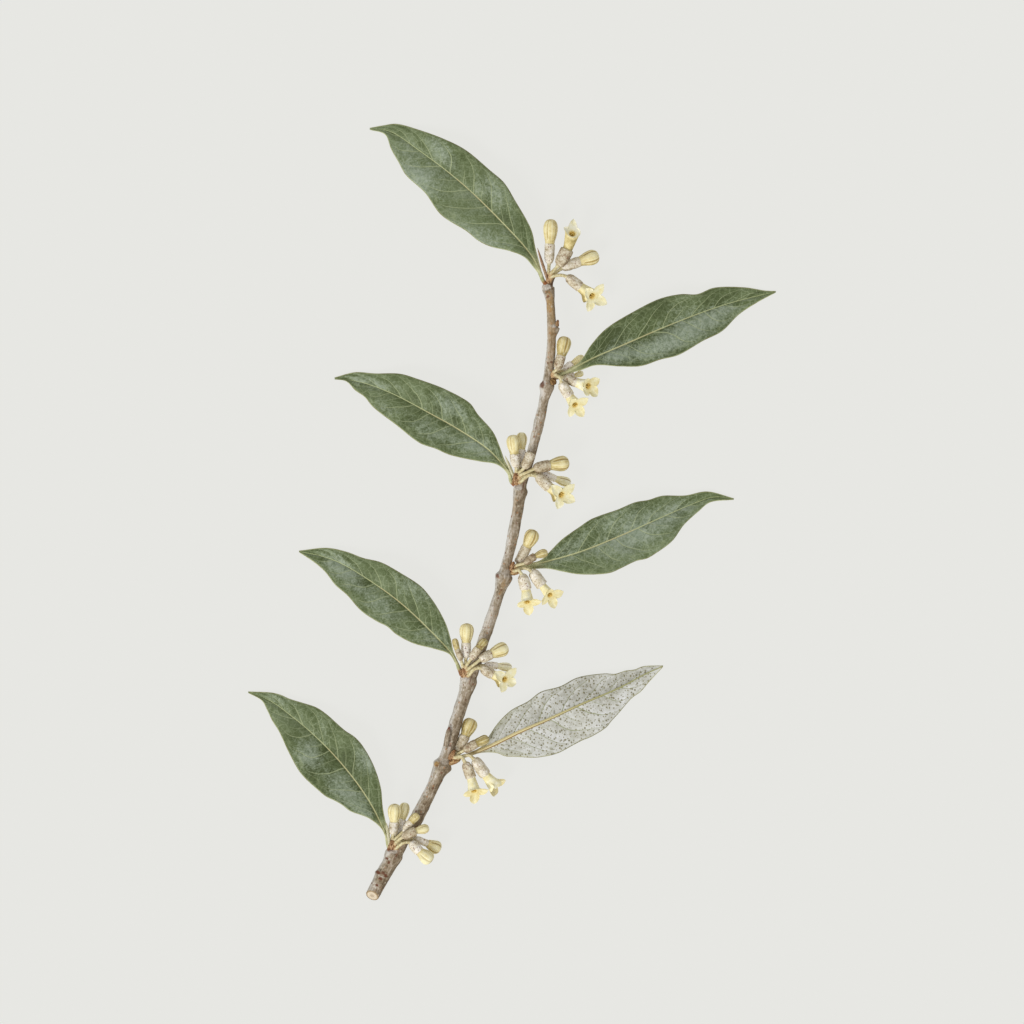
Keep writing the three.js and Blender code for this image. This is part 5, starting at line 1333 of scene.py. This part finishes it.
def stamens(flower, centre, facing, turn):
    """Four anthers in the mouth, and the tip of the style between them."""
    side, top = across(facing)
    share = np.linspace(-1, 1, 13)
    angles = even_angles(14)
    skins = []
    for i in range(5):
        style = i == 4
        way = turn + (i + 0.5) * math.pi / 2
        out = math.cos(way) * side + math.sin(way) * top
        middle = centre + (0 if style else 0.22 * flower["head"]) * out
        lean = unit(facing + (0.0 if style else 0.35) * out)
        half_length, radius = (0.3, 0.12) if style else (0.34, 0.15)
        spine = middle + share[:, None] * half_length * lean
        radii = radius * np.sqrt(np.clip(1 - share ** 2, 0.02, 1))
        rings = ring(spine, np.broadcast_to(lean, spine.shape), radii, angles)
        skins.append((rings, {"ridge": 0.6 if style else 0.0}))
    make_piece(flower["name"] + "_stamens", skins, ["anther"])


# ---------------------------------------------------------------- small pieces


def small_piece(name, kind, start, end, radius, seed):
    """A brown bud, a clump of bud scales or a bract: overlapping scales round one axis."""
    shape, scales = SMALL_SHAPES[kind]
    start, end = np.array(start), np.array(end)
    share, radii = profile([(spot, part * radius) for spot, part in shape], 36)
    share = np.clip(share, 0, 1)
    centre = start + (end - start) * share[:, None]
    ahead = np.broadcast_to(unit(end - start), centre.shape)
    angles = even_angles(36)
    rng = np.random.default_rng(seed)
    ridge = np.zeros((len(share), len(angles)))
    relief = np.zeros_like(ridge)
    for i in range(scales):
        gap = np.abs(angle_from(angles, i * 2.4 + rng.uniform(0, 0.6)))
        tip_at = 0.95 - 0.16 * i
        half = 1.25 * np.sqrt(np.clip(1 - share / tip_at, 0, 1))[:, None]
        inside = smooth((half - gap) / 0.12)
        relief = np.maximum(relief * (1 - inside) + inside * (0.06 + 0.035 * i), relief)
        ridge = np.maximum(ridge, inside * bell(half - gap - 0.1, 0.1))
    radii = radii[:, None] * (0.94 + relief)
    rough = 0.05 * radius * waves(ring(centre, ahead, radii, angles), 0.5, seed + 3)
    rings = rest_on_surface(ring(centre, ahead, radii + rough, angles))
    red_tip = smooth((share - 0.75) / 0.2)[:, None] * (kind == "side")
    make_piece(name + "_detail", [(rings, {"ridge": ridge, "red": red_tip})], [kind], name)


# ---------------------------------------------------------------- the sprig

twig()
for number, leaf in enumerate(LEAVES):
    leaf_piece(leaf, 100 + 10 * number)
for number, flower in enumerate(FLOWERS):
    (open_flower if flower["lobes"] else bud)(flower, 300 + 5 * number)
for number, row in enumerate(SMALL_PIECES):
    small_piece(*row, 600 + 5 * number)

# ---------------------------------------------------------------- floor, light and camera

FLOOR_SIZE = 3.0
FLOOR_GAP = 0.05 * MM
FLOOR_GREY = 0.04
FLOOR_COLOR = (231, 231, 227)
SKY_STRENGTH = 0.6
SUN_STRENGTH = 1.95
SUN_WIDTH = 25
# Degrees about X and Y: the sun stands to the upper left of the picture.
SUN_TURN = (35, -35)
CAMERA_PLACE = (-0.25 * MM, -0.25 * MM, 6.4)
CAMERA_LENS = 900.0
CAMERA_SENSOR = 36.0


def add_object(name, data):
    made = bpy.data.objects.new(name, data)
    bpy.context.scene.collection.objects.link(made)
    return made


def floor():
    """A floor that glows in its colour and reflects little light, so that shadows stay faint."""
    mesh = bpy.data.meshes.new("floor")
    half = FLOOR_SIZE / 2
    corners = [(-half, -half), (half, -half), (half, half), (-half, half)]
    mesh.from_pydata([(x, y, -FLOOR_GAP) for x, y in corners], [], [(0, 1, 2, 3)])
    p = Paint("floor", 0.9, 0.0)
    p.feed("Base Color", (FLOOR_GREY, FLOOR_GREY, FLOOR_GREY, 1.0))
    glow = np.array(linear(FLOOR_COLOR))
    glow[:3] -= FLOOR_GREY
    p.feed("Emission Color", tuple(glow))
    p.feed("Emission Strength", 1.0)
    mesh.materials.append(p.material)
    add_object("floor", mesh)


def lights():
    world = bpy.data.worlds.new("studio")
    world.use_nodes = True
    background = world.node_tree.nodes["Background"]
    background.inputs["Color"].default_value = (1.0, 1.0, 1.0, 1.0)
    background.inputs["Strength"].default_value = SKY_STRENGTH
    bpy.context.scene.world = world
    key = bpy.data.lights.new("key", "SUN")
    key.energy = SUN_STRENGTH
    key.angle = math.radians(SUN_WIDTH)
    x, y = SUN_TURN
    add_object("key", key).rotation_euler = (math.radians(x), math.radians(y), 0.0)


def camera():
    made = bpy.data.cameras.new("camera")
    made.sensor_width = CAMERA_SENSOR
    made.lens = CAMERA_LENS
    made.clip_start = 0.5
    made.clip_end = 20.0
    holder = add_object("camera", made)
    holder.location = CAMERA_PLACE
    bpy.context.scene.camera = holder


floor()
lights()
camera()
bpy.context.scene.view_settings.view_transform = "Standard"
